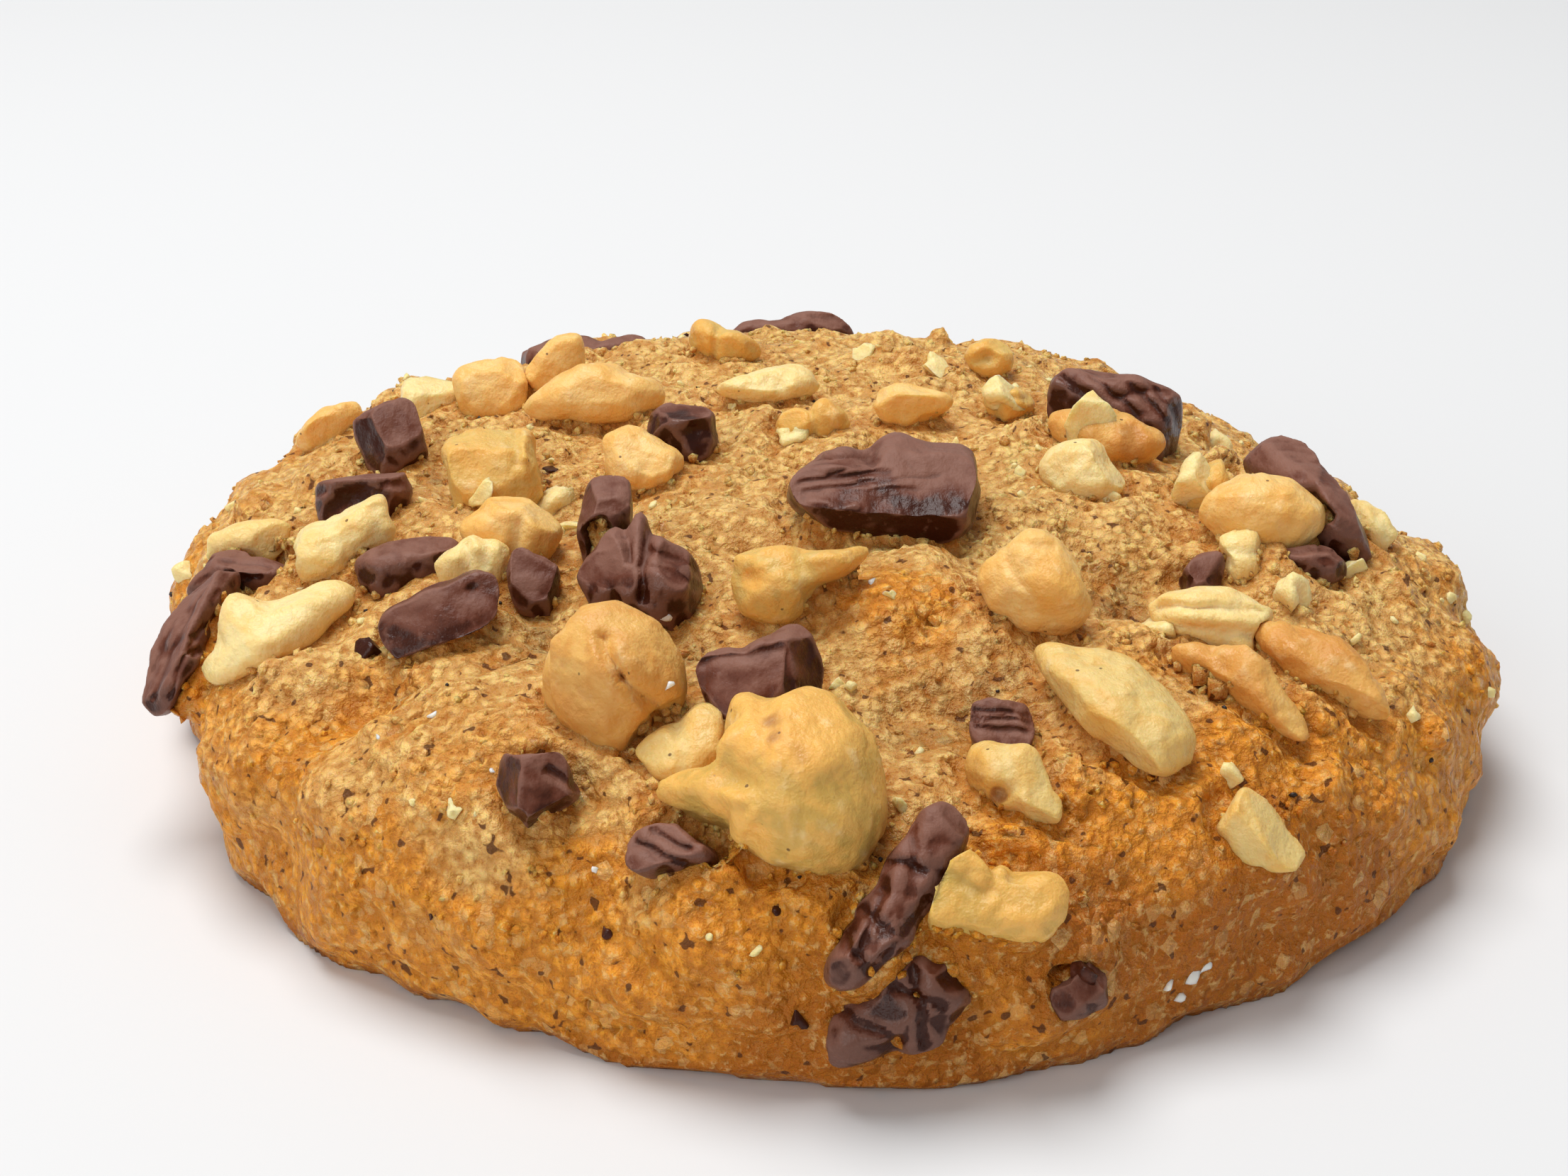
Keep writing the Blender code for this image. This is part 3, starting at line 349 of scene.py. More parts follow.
def points_of(mesh):
    """Points and normals as arrays, the points in millimetres."""
    places = np.empty(len(mesh.vertices) * 3, np.float32)
    mesh.vertices.foreach_get("co", places)
    normals = np.empty(len(mesh.vertices) * 3, np.float32)
    mesh.vertex_normals.foreach_get("vector", normals)
    return places.reshape(-1, 3).astype(float) / MM, normals.reshape(-1, 3).astype(float)


def set_points(mesh, places):
    mesh.vertices.foreach_set("co", (places * MM).astype(np.float32).ravel())
    mesh.update()


def store(mesh, name, values):
    attribute = mesh.attributes.new(name, "FLOAT", "POINT")
    attribute.data.foreach_set("value", np.asarray(values, np.float32))


def clouds(places, size, shift=0.0):
    """Noise from -1 to 1 whose blobs are about size millimetres wide."""
    away = Vector((shift, shift * 1.7, shift * 0.6))
    return np.array([noise.noise(Vector(place) / size + away) for place in places])


def pebbles(places, size):
    """Height of rounded grains of about size millimetres: 1 on a grain, 0 in the crease between two."""
    heights = []
    for place in places:
        near = noise.voronoi(Vector(place) / size)[0]
        heights.append(min(1.0, (near[1] - near[0]) * GRAIN_STEEPNESS))
    return np.array(heights)


def smoothstep(values, low, high):
    share = np.clip((values - low) / (high - low), 0.0, 1.0)
    return share * share * (3 - 2 * share)


def falloff(away, radius):
    """1 in the middle, about a third at the radius, and nearly 0 at twice the radius."""
    return np.exp(-((away / radius) ** 2))


def away_from(places, middle):
    """How far each place is from the middle, along as many axes as the middle has."""
    return np.linalg.norm(places[:, :len(middle)] - np.array(middle), axis=1)


def tree_of(*objects):
    """One search tree over the surfaces of these objects, in millimetres."""
    places = []
    faces = []
    for obj in objects:
        start = len(places)
        places.extend(vert.co / MM for vert in obj.data.vertices)
        faces.extend([start + index for index in face.vertices] for face in obj.data.polygons)
    return BVHTree.FromPolygons(places, faces)


def distances(tree, places, reach):
    """Distance of each place from the tree's surface, up to reach: below 0 inside it."""
    values = np.full(len(places), reach)
    for index, place in enumerate(places):
        hit, normal, _, distance = tree.find_nearest(Vector(place), reach)
        if hit is not None:
            values[index] = math.copysign(distance, (Vector(place) - hit).dot(normal))
    return values


def standing_out(mesh, rounds, full):
    """From -1 in a crease to 1 on an edge that stands out by full millimetres from what lies round it."""
    ends = np.empty(len(mesh.edges) * 2, np.int32)
    mesh.edges.foreach_get("vertices", ends)
    near, far = ends[::2], ends[1::2]
    neighbours = np.bincount(ends, minlength=len(mesh.vertices))
    places, normals = points_of(mesh)
    evened_places = places
    for _ in range(rounds):
        columns = []
        for column in evened_places.T:
            total = np.bincount(near, column[far], len(places)) + np.bincount(far, column[near], len(places))
            columns.append(total / neighbours)
        evened_places = np.stack(columns, 1)
    return np.clip(((places - evened_places) * normals).sum(1) / full, -1, 1)


print("helpers ready")

# %% [markdown]
# ## Sculpting strokes
# A chopped nut or chunk is known by its outline, and by the few broken faces and grooves on it. In the
# editor these would be brush strokes. Here a stroke is a function on the points of a piece, in the piece's
# own view frame: to the right, upwards, and outwards to the camera, in millimetres from its middle. The
# first stroke, `trimmed`, draws the piece in or out along each spoke until it fills its outline. The others
# break a face off, press a groove or a dent, pull a part out, or lay a patch of another colour.
# %% Define the strokes
RIGHT = np.array((1.0, 0.0, 0.0))
UPWARDS = np.array((0.0, math.sin(CAMERA_PITCH), math.cos(CAMERA_PITCH)))
OUTWARDS = np.array((0.0, -math.cos(CAMERA_PITCH), math.sin(CAMERA_PITCH)))
AXES = np.stack((RIGHT, UPWARDS, OUTWARDS))
SPOKES = 72
LEAST_GROWTH = 0.3
MOST_GROWTH = 3.0
DOME = np.array((45.0, 47.0, 18.0))
PROUD = 0.35


def spoke_angles(places):
    return np.arctan2(places[:, 1], places[:, 0])


def spoke_middles(count):
    """The angles in the middle of each of count sectors."""
    return (np.arange(count) + 0.5) / count * 2 * math.pi - math.pi


def spoke_of(places, count):
    """The sector in which each place lies."""
    return ((spoke_angles(places) + math.pi) / (2 * math.pi) * count).astype(int) % count


def outline_reach(outline, angles):
    """How far the closed outline reaches from the middle at each angle."""
    starts = np.array(outline)
    sides = np.roll(starts, -1, 0) - starts
    reach = []
    for angle in angles:
        x, y = math.cos(angle), math.sin(angle)
        across = x * sides[:, 1] - y * sides[:, 0]
        across = np.where(np.abs(across) < 1e-9, 1e-9, across)
        along = (starts[:, 0] * sides[:, 1] - starts[:, 1] * sides[:, 0]) / across
        share = (starts[:, 0] * y - starts[:, 1] * x) / across
        hits = along[(share >= -1e-6) & (share <= 1 + 1e-6) & (along > 0)]
        reach.append(hits.max() if len(hits) else 0.1)
    return np.array(reach)


def piece_reach(places):
    """How far the piece itself reaches from the middle, spoke by spoke."""
    reach = np.zeros(SPOKES)
    np.maximum.at(reach, spoke_of(places, SPOKES), np.hypot(places[:, 0], places[:, 1]))
    reach = np.maximum(reach, 0.97 * np.maximum(np.roll(reach, 1), np.roll(reach, -1)))
    return evened(reach)


def evened(values, rounds=1):
    """A ring of values, each averaged with its neighbours."""
    for _ in range(rounds):
        values = (np.roll(values, 1) + values + np.roll(values, -1)) / 3
    return values


def trimmed(places, outline):
    """The piece drawn in or out, spoke by spoke, to fill its outline."""
    middles = spoke_middles(SPOKES)
    gain = outline_reach(outline, middles) / np.maximum(piece_reach(places), 0.1)
    gain = evened(np.clip(gain, LEAST_GROWTH, MOST_GROWTH))
    gain = np.interp(spoke_angles(places), middles, gain, period=2 * math.pi)
    places[:, :2] *= gain[:, None]


def face(places, towards, depth):
    """A broken face: what lies beyond a slightly wavy plane is pressed onto it."""
    normal = np.array(towards) / np.linalg.norm(towards)
    reach = places @ normal
    limit = reach.max() - depth + clouds(places, 1.7, depth * 9) * 0.10
    places -= normal * np.maximum(reach - limit, 0)[:, None]


def near_side(places):
    """1 on the side of the piece that the camera sees, and 0 on its other side."""
    return smoothstep(places[:, 2], -0.6, 0.2)


def near_line(places, start, end):
    """Distance from a line seen from the camera, for points on the side that the camera sees."""
    start, end = np.array(start), np.array(end)
    side = end - start
    share = np.clip(((places[:, :2] - start) @ side) / (side @ side), 0, 1)
    return np.linalg.norm(places[:, :2] - start - side * share[:, None], axis=1)


def groove(places, start, end, width, depth):
    """A crease where depth is above 0, and a raised ridge where it is below."""
    bent = places + clouds(places, 1.4, width * 9)[:, None] * 0.25
    places[:, 2] -= falloff(near_line(bent, start, end), width) * near_side(places) * depth


def dent(places, middle, radius, depth):
    places[:, 2] -= falloff(away_from(places, middle), radius) * depth * near_side(places)


def pull(places, middle, radius, move):
    """Moves what lies near the middle, which is a point of the view or a place in space."""
    places += falloff(away_from(places, middle), radius)[:, None] * np.array(move)


def spot_value(places, middle, radius, amount):
    """A patch of colour seen from the camera: its value at each point."""
    ragged = away_from(places, middle) + clouds(places, 1.2, 3.0) * radius * 0.4
    return amount * (1 - smoothstep(ragged, radius * 0.5, radius * 1.3))


def sculpted(node, places, strokes):
    """The piece after its strokes, and its patches of toast (nuts) or shine (chocolate)."""
    low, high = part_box(node)
    middle = np.array((low + high) / 2) / MM
    local = (places - middle) @ AXES.T
    patches = np.zeros(len(local))
    for kind, *values in strokes:
        if kind is spot_value:
            patches += spot_value(local, *values)
        else:
            kind(local, *values)
    proud = middle / DOME**2
    return local @ AXES + middle + proud / np.linalg.norm(proud) * PROUD, patches


def shaped(node, name, voxel, rounds, swell, strokes):
    """A fine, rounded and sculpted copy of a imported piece, and its patches."""
    piece = remeshed(object_of(merged_copy(node), name), voxel, rounds)
    places, normals = points_of(piece.data)
    places, patches = sculpted(node, places + normals * swell, strokes)
    set_points(piece.data, places)
    return piece, patches


def roughly_broken(seed, count, deep):
    """A few broken faces at random, for pieces of which little can be seen."""
    draw = random.Random(seed)
    for _ in range(count):
        towards = (draw.uniform(-1, 1), draw.uniform(-0.7, 1), draw.uniform(-0.3, 1))
        yield face, towards, draw.uniform(deep * 0.4, deep)


print("strokes ready")

# %% [markdown]
# ## The finish of the nuts
# A blanched, roasted peanut is waxy and cream-coloured, toasted golden where the oven or the pan touched
# it. Light goes well into it. Edges that stand out are toasted more. Paler flesh lies on the high spots of
# fine mottles: freshly broken flesh, and also painted highlight. Each nut takes one of a few roasts, and
# noise lays the toasted patches.
# %% Mix the nut materials
ROASTS = {
    "cream": ((0.74, 0.480, 0.135), (0.86, 0.44, 0.090), 0.40),
    "deep": ((0.66, 0.405, 0.095), (0.92, 0.50, 0.120), 0.40),
    "waxy": ((0.80, 0.580, 0.215), (0.78, 0.44, 0.100), 0.35),
    "pale": ((0.95, 0.740, 0.340), (0.90, 0.58, 0.180), 0.30),
    "golden": ((0.93, 0.61, 0.220), (0.86, 0.45, 0.100), 0.45),
    "tan": ((0.82, 0.47, 0.130), (0.68, 0.30, 0.060), 0.50),
}
NUT_SPECK = (0.11, 0.045, 0.015)
NUT_SKIN = (0.36, 0.125, 0.035)
PALE_FLESH_AND_HIGHLIGHT = (0.93, 0.72, 0.38)
TOAST_SIZE = 4.2
MOTTLE_SIZE = 1.5
SPECK_SPACING = 1.9
GLOSS_SIZE = 1.6
NUT_DEPTH = 0.55
SOFT_BUMP = 0.8
NUT_GLOW = (1.0, 0.62, 0.30)
NUT_GLOW_DEPTH = 1.1
NUT_GLOW_SHARE = 0.45
NUT_SHEEN = 0.30


def nut_material(name, flesh, toast, share):
    recipe = Recipe(name)
    patches = recipe.noise(TOAST_SIZE, detail=3.0, rough=0.5, twist=0.4)
    colour = recipe.mix(recipe.range(patches, 0.62 - share * 0.3, 0.86 - share * 0.3), flesh, toast)
    colour = recipe.mix(recipe.range(recipe.stored("edge"), 0.2, 1.0, 0.0, 0.45), colour, toast)
    colour = recipe.mix(recipe.range(recipe.stored("toast"), 0.0, 1.0, 0.0, 0.85), colour, toast)
    colour = recipe.mix(recipe.range(recipe.stored("toast"), 0.9, 1.6, 0.0, 0.8), colour, NUT_SKIN)
    mottles = recipe.noise(MOTTLE_SIZE, detail=4.0, rough=0.6)
    colour = recipe.mix(recipe.range(mottles, 0.50, 0.30, 0.0, 0.55), colour, toast)
    # Paler flesh on the high spots of the mottles, which are the bump too: freshly broken flesh and painted
    # highlight.
    colour = recipe.mix(recipe.range(mottles, 0.55, 0.75, 0.0, 0.40), colour, PALE_FLESH_AND_HIGHLIGHT)
    specks = recipe.range(recipe.cells(SPECK_SPACING), 0.075, 0.045, 0.0, 0.8)
    colour = recipe.mix(specks, colour, NUT_SPECK)
    recipe.set(
        Base_Color=colour, Roughness=recipe.range(recipe.noise(GLOSS_SIZE), 0.3, 0.7, 0.34, 0.52),
        Subsurface_Weight=NUT_GLOW_SHARE, Subsurface_Radius=NUT_GLOW,
        Subsurface_Scale=NUT_GLOW_DEPTH * MM, Specular_IOR_Level=NUT_SHEEN,
    )
    recipe.add_bump(mottles, NUT_DEPTH, SOFT_BUMP)
    return recipe.material


nut_finishes = {roast: nut_material(f"{roast} peanut", *values) for roast, values in ROASTS.items()}
print("roasts:", ", ".join(nut_finishes))

# %% [markdown]
# ## The outlines of the nuts
# Halves, quarters and chips of peanut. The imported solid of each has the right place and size. Here each has
# the outline that the camera sees, with only the points that its shape needs, and then its faces, grooves,
# dents and toasted patches. The places are in millimetres from the middle of the piece.
# %% Outlines and strokes of the nuts
NUT_STROKES = {
    "hooked_front": (
        (trimmed, ((-6.3, 0.4), (-5.6, 0.9), (-3.9, 0.9), (-2.8, 2.1), (-2.5, 4.2), (-1.6, 5.3),
            (-0.9, 5.2), (-0.2, 4.6), (0.5, 5.2), (1.9, 5.6), (3.7, 4.8), (5.4, 3.0), (6.2, 0.6),
            (6.2, -2.0), (4.8, -4.5), (2.3, -5.1), (0.2, -4.3), (-1.8, -2.8), (-3.9, -1.9), (-5.8, -1.0))),
        (dent, (-0.2, 4.2), 0.8, 0.7), (groove, (-2.0, 0.9), (4.6, 0.4), 0.9, 0.35),
        (pull, (-2.8, -1.6), 2.2, (0.0, 0.0, 1.0)), (dent, (2.6, -2.6), 1.6, -0.35),
        (spot_value, (1.8, 3.4), 2.4, 0.9), (spot_value, (-1.3, 3.4), 1.6, 0.6),
        (spot_value, (-0.5, 1.6), 2.4, 0.35),
    ),
    "split_round": (
        (groove, (-0.4, 2.6), (0.6, 0.4), 0.34, 1.0), (groove, (0.6, 0.4), (2.3, -1.5), 0.30, 0.9),
        (groove, (-0.9, 2.2), (1.5, -1.7), 0.5, -0.22), (groove, (-2.6, 1.0), (-1.3, -0.8), 0.35, 0.4),
        (face, (-0.6, -0.2, 0.8), 0.35), (spot_value, (1.0, 1.0), 2.6, 0.3),
        (spot_value, (-1.6, -1.6), 2.0, 0.5),
    ),
    "behind_hooked": (
        (trimmed, ((-2.3, -0.3), (-1.7, 0.4), (-0.8, 1.0), (0.3, 1.3), (1.3, 2.4), (2.6, 1.9), (3.0, 0.0),
            (2.4, -2.0), (0.5, -2.6), (-1.3, -1.8))),
        (dent, (-0.9, -0.6), 0.6, 0.6), (groove, (0.2, 0.9), (0.4, -1.2), 0.4, 0.35),
        (face, (-0.4, 0.5, 0.7), 0.4),
    ),
    "notched_front": (
        (trimmed, ((-3.8, -1.9), (-3.4, 0.4), (-2.2, 2.2), (-1.4, 2.9), (-1.0, 1.6), (-0.4, 1.1),
            (0.4, 1.4), (1.1, 0.9), (2.2, 1.0), (3.3, 1.0), (3.8, 0.2), (3.6, -1.2), (2.6, -2.6),
            (0.9, -2.9), (-1.7, -2.5))),
        (face, (0.0, 0.2, 1.0), 0.8), (dent, (0.8, 1.0), 0.8, 0.8),
        (groove, (-2.6, 1.2), (-0.6, 0.3), 0.4, 0.3), (groove, (-3.2, -1.0), (3.0, -0.9), 0.9, -0.25),
        (spot_value, (1.0, -0.9), 2.6, 0.35),
    ),
    "half_front_right": (
        (trimmed, ((-4.6, 3.1), (-3.0, 3.5), (-0.7, 3.3), (1.3, 2.4), (3.0, 0.9), (3.8, -0.3), (4.5, -1.4),
            (4.3, -2.8), (3.0, -3.9), (1.3, -3.8), (-0.3, -2.8), (-2.3, -0.8), (-4.0, 1.6))),
        (face, (-0.65, -0.55, 0.55), 0.9), (groove, (-4.2, 2.6), (1.8, -3.4), 0.35, -0.18),
        (spot_value, (-1.2, -1.2), 1.8, 0.5), (spot_value, (3.2, -2.8), 1.5, 0.4),
    ),
    "chunk_right_front": (
        (trimmed, ((-1.6, 1.6), (-0.7, 2.8), (0.6, 2.1), (2.0, 0.2), (2.9, -0.8), (2.4, -1.7), (0.8, -2.2),
            (-0.2, -2.0), (-1.4, -1.1), (-2.3, 0.4))),
        (face, (0.6, 0.5, 0.7), 0.7), (face, (-0.4, -0.3, 0.9), 0.5),
        (groove, (-0.6, 2.6), (0.8, -1.6), 0.3, -0.2),
    ),
    "sliver_right": (
        (trimmed, ((-3.9, 1.4), (-3.4, 2.3), (-2.6, 2.6), (-1.8, 2.3), (-1.0, 2.8), (0.5, 2.5), (1.8, 1.3),
            (3.1, -0.4), (4.0, -1.8), (4.4, -3.0), (3.2, -3.1), (1.2, -2.8), (-1.3, -1.3), (-3.0, 0.4))),
        (face, (0.45, 0.35, 0.8), 0.8), (face, (-0.7, -0.6, 0.45), 0.8), (dent, (-2.2, 1.2), 0.5, 0.4),
        (spot_value, (-1.2, 0.4), 1.8, 0.8), (spot_value, (0.6, -1.2), 1.4, 0.5),
    ),
    "half_right": (
        (trimmed, ((-3.9, 2.2), (-3.2, 2.9), (-2.2, 3.0), (-0.6, 2.8), (1.2, 2.1), (2.5, 0.8), (3.3, -0.4),
            (3.8, -1.4), (3.8, -2.5), (3.2, -3.1), (1.6, -2.5), (-0.6, -1.5), (-2.4, 0.0), (-3.4, 1.2))),
        (face, (-0.4, -0.7, 0.6), 0.7), (spot_value, (-0.5, 0.8), 2.6, 0.5),
    ),
    "flat_right": (
        (trimmed, ((-3.8, 0.9), (-3.2, 1.9), (-2.4, 2.3), (-0.8, 2.5), (0.9, 2.3), (2.5, 1.7), (3.8, 0.9),
            (3.6, -0.4), (3.2, -2.0), (1.8, -2.1), (-1.0, -1.4), (-3.0, -0.7))),
        (groove, (-3.0, 1.2), (2.8, 0.9), 0.22, 0.5), (groove, (-2.8, 0.6), (3.0, 0.2), 0.35, -0.3),
        (groove, (-2.6, 0.0), (2.6, -0.6), 0.25, 0.35),
    ),
    "skin_front": (
        (trimmed, ((-2.7, 1.0), (-2.0, 2.3), (-1.0, 2.5), (1.1, 2.4), (1.5, 1.8), (1.8, 1.0), (2.2, 0.1),
            (2.8, -1.1), (2.5, -1.9), (1.6, -2.0), (0.4, -1.6), (-0.9, -1.3), (-2.3, -0.4))),
        (dent, (-0.7, -0.3), 0.45, 0.9), (groove, (-0.4, 2.2), (0.0, 0.0), 0.4, 0.3),
        (face, (0.4, 0.4, 0.8), 0.4), (spot_value, (-0.8, -0.4), 0.6, 1.6),
        (spot_value, (-2.4, 0.8), 1.2, 1.2),
    ),
    "leaf_left": (
        (trimmed, ((-3.9, -1.4), (-3.4, 0.6), (-3.1, 1.8), (-2.4, 2.5), (-1.6, 2.2), (-0.6, 1.8),
            (0.2, 2.0), (1.0, 2.4), (2.4, 3.0), (3.7, 3.1), (4.9, 2.7), (5.2, 1.8), (4.4, 0.6), (2.9, -0.8),
            (0.3, -2.2), (-1.6, -3.2), (-3.6, -3.3), (-4.4, -2.5))),
        (face, (0.0, 0.5, 0.8), 0.4), (groove, (-2.4, 1.4), (3.6, 2.0), 0.7, -0.2),
        (dent, (-1.4, 1.7), 0.5, 0.4), (pull, (0.4, -1.0), 2.4, (0.0, -0.1, 1.2)),
    ),
    "sliver_left": (
        (trimmed, ((-2.9, 0.3), (-2.6, 1.0), (-1.6, 1.4), (-0.5, 1.8), (0.6, 2.1), (1.8, 2.1), (2.7, 1.6),
            (2.6, 0.4), (2.2, -0.6), (0.5, -1.6), (-0.6, -1.8), (-2.6, -1.0))),
        (dent, (0.0, 1.2), 0.5, 0.2),
    ),
    "star_left": (
        (trimmed, ((-3.6, -0.6), (-3.5, 0.4), (-2.6, 0.9), (-1.6, 1.1), (-0.5, 1.6), (0.5, 2.2), (1.1, 2.3),
            (2.0, 3.0), (2.8, 2.3), (2.8, 1.5), (3.3, 0.6), (2.9, -0.5), (1.6, -1.3), (0.3, -2.4),
            (-1.1, -2.9), (-2.5, -2.9), (-2.9, -1.9), (-3.0, -1.1))),
        (dent, (1.3, 0.8), 0.8, -0.5), (groove, (-1.6, 1.0), (0.2, -1.4), 0.5, 0.3),
        (dent, (2.0, 1.7), 0.4, 0.4),
    ),
    "crumbly_left": (
        (trimmed, ((-2.6, 0.5), (-2.5, 1.3), (-1.5, 1.4), (-1.0, 1.9), (-0.2, 2.3), (0.3, 1.9), (1.3, 1.9),
            (2.0, 1.4), (1.9, 0.6), (2.2, -0.6), (1.0, -1.3), (-1.4, -1.8), (-2.2, -1.0))),
        (dent, (-1.2, 0.8), 0.5, -0.4), (dent, (0.1, 1.3), 0.4, -0.4),
        (groove, (-0.6, 1.6), (-0.5, 0.0), 0.25, 0.4), (groove, (0.8, 1.8), (0.6, 0.4), 0.25, 0.4),
    ),
    "toasted_left": (
        (trimmed, ((-3.3, 0.2), (-2.8, 1.2), (-1.9, 1.6), (-1.3, 2.5), (-0.2, 2.6), (1.0, 2.4), (1.9, 1.7),
            (2.8, 1.2), (3.4, 0.2), (3.0, -0.9), (2.4, -1.8), (1.0, -2.4), (-0.9, -2.2), (-2.3, -1.7))),
        (groove, (0.8, 0.5), (0.6, -0.9), 0.4, 0.45), (dent, (-1.8, 0.4), 0.9, -0.3),
        (dent, (1.9, 0.2), 0.8, -0.3), (spot_value, (-1.8, 0.0), 1.4, 0.5),
        (spot_value, (2.2, 0.0), 1.2, 0.5),
    ),
    "dusted_left": (
        (trimmed, ((-3.6, 2.0), (-2.9, 2.8), (-1.2, 3.4), (0.4, 3.2), (1.5, 3.4), (2.4, 3.2), (2.6, 1.7),
            (3.0, 0.2), (3.3, -1.2), (2.8, -2.7), (0.6, -3.0), (-1.6, -3.4), (-2.6, -2.6), (-3.1, -1.0),
            (-3.2, 0.4))),
        (face, (0.0, 0.25, 1.0), 0.8), (groove, (2.0, 3.2), (2.2, 1.3), 0.3, -0.6),
        (groove, (1.3, 2.8), (1.6, 0.8), 0.3, 0.4), (spot_value, (-1.0, 1.2), 2.0, 0.5),
    ),
    "rim_back_left": (
        (trimmed, ((-1.7, -1.0), (-1.5, -0.2), (-1.0, 0.5), (-0.4, 1.1), (0.5, 1.7), (1.3, 1.9), (2.1, 2.2),
            (2.9, 1.9), (3.2, 1.2), (2.4, -0.2), (1.4, -1.6), (0.0, -2.0), (-1.2, -1.6))),
        (spot_value, (0.4, 0.0), 1.6, 0.7),
    ),
    "cube_left": (
        (trimmed, ((-2.5, -0.4), (-2.4, 0.5), (-2.8, 1.2), (-2.3, 2.0), (-1.5, 2.5), (-0.4, 2.4),
            (0.5, 1.9), (1.4, 1.2), (2.1, 0.7), (2.7, 0.6), (2.7, -0.5), (2.2, -1.2), (1.4, -2.0),
            (-0.4, -2.1), (-1.9, -1.9))),
        (face, (0.1, 0.5, 0.85), 0.7), (groove, (-1.6, 1.6), (1.4, 0.2), 0.35, -0.2),
        (dent, (0.4, -0.6), 0.5, 0.25),
    ),
    "club_centre": (
        (trimmed, ((-4.0, 0.2), (-3.9, 1.1), (-3.5, 2.2), (-2.5, 2.6), (-0.8, 2.6), (0.7, 2.2), (1.9, 2.5),
            (3.1, 2.5), (4.1, 2.8), (4.5, 2.3), (4.2, 1.6), (3.0, 1.2), (1.9, 0.4), (1.2, -0.6),
            (0.4, -1.6), (-0.6, -2.2), (-2.0, -2.2), (-3.4, -1.5))),
        (dent, (-2.8, 0.7), 0.55, 0.7), (groove, (0.2, 2.2), (0.6, 0.4), 0.6, 0.4),
        (pull, (2.6, 1.6), 1.6, (0.0, -0.1, 1.1)), (groove, (1.4, 1.9), (4.0, 2.2), 0.6, -0.4),
        (spot_value, (-2.8, 0.6), 0.8, 1.0), (spot_value, (2.6, 1.8), 1.4, 0.35),
    ),
    "half_centre": (
        (trimmed, ((-3.4, -0.4), (-3.2, 0.6), (-2.3, 1.4), (-1.4, 2.2), (-0.4, 3.0), (0.6, 2.9), (1.5, 2.3),
            (2.2, 1.2), (2.9, -0.5), (3.4, -1.9), (3.0, -2.8), (1.9, -3.5), (0.2, -3.4), (-1.2, -2.9),
            (-2.8, -1.9))),
        (groove, (-1.7, 1.5), (-1.0, -0.4), 0.35, 0.35), (groove, (-1.2, 1.8), (0.9, 1.7), 0.3, 0.3),
        (spot_value, (1.0, -0.3), 1.8, 0.8), (spot_value, (-2.2, 0.4), 1.4, 0.4),
    ),
    "chunk_centre": (
        (trimmed, ((-2.9, -0.4), (-2.9, 0.6), (-2.3, 1.5), (-1.3, 2.0), (-0.2, 2.1), (0.9, 2.0), (1.6, 1.9),
            (1.5, 1.1), (2.2, 0.2), (2.9, -0.5), (2.3, -1.6), (0.8, -2.5), (-1.0, -2.3), (-2.4, -1.2))),
        (face, (-0.15, 0.2, 1.0), 0.5), (face, (0.7, 0.5, 0.4), 0.6),
        (groove, (0.9, 1.7), (-0.2, 0.2), 0.3, -0.25),
    ),
    "half_back_right": (
        (trimmed, ((-4.2, -0.3), (-3.8, 0.8), (-2.8, 1.7), (-1.4, 2.5), (0.1, 2.5), (1.9, 2.1), (3.1, 1.3),
            (3.9, 0.2), (4.0, -0.8), (3.4, -1.6), (2.6, -2.4), (1.2, -2.8), (-1.4, -2.5), (-3.0, -1.7))),
        (groove, (-3.4, 1.0), (2.4, 1.2), 0.3, -0.15), (spot_value, (0.6, -0.6), 2.4, 0.45),
    ),
    "chip_right": (
        (trimmed, ((-1.6, 0.9), (-1.2, 1.6), (-0.3, 1.9), (0.8, 1.8), (1.5, 1.4), (1.6, 0.5), (1.3, -0.3),
            (1.3, -1.2), (0.8, -1.7), (-0.6, -1.5), (-1.0, -0.8), (-0.9, 0.3))),
        (groove, (-1.2, 0.6), (1.2, 0.5), 0.3, 0.3),
    ),
    "under_right": (
        (trimmed, ((-1.6, -0.8), (-1.1, 0.1), (-0.3, 1.0), (0.9, 1.6), (1.8, 1.6), (2.0, 0.4), (1.6, -1.2),
            (0.4, -2.0), (-0.8, -1.6))),
        (groove, (0.2, 1.4), (0.6, -0.6), 0.3, 0.35),
    ),
    "rim_right": (
        (trimmed, ((-1.8, -0.2), (-1.6, 0.7), (-1.3, 1.2), (-0.8, 1.6), (-0.1, 1.4), (0.6, 0.8),
            (1.3, -0.1), (1.8, -0.9), (1.1, -2.0), (-0.1, -2.2), (-1.5, -1.2))),
        (groove, (0.0, 1.2), (0.8, -1.0), 0.4, 0.2),
    ),
    "toasted_right": (
        (trimmed, ((-4.2, 1.6), (-3.3, 2.3), (-1.6, 2.5), (0.4, 2.2), (2.1, 1.6), (3.3, 0.7), (3.9, -0.3),
            (2.8, -1.5), (1.0, -2.0), (-1.4, -1.7), (-3.2, -0.9))),
        (dent, (1.4, 0.2), 0.9, 0.4), (spot_value, (1.4, 0.0), 1.5, 1.2),
        (groove, (-3.4, 1.4), (0.8, 1.6), 0.3, 0.2),
    ),
    "half_back": (
        (trimmed, ((-5.3, -1.6), (-5.3, -0.7), (-4.2, 0.4), (-2.8, 1.6), (-1.4, 2.1), (0.6, 2.1),
            (2.4, 1.6), (4.1, 0.8), (4.9, -0.1), (4.4, -1.0), (3.4, -1.7), (2.0, -2.2), (-3.3, -2.2),
            (-4.6, -1.9))),
        (face, (0.0, 0.1, 1.0), 0.3), (spot_value, (0.0, -1.2), 3.0, 0.3),
    ),
    "block_back_left": (
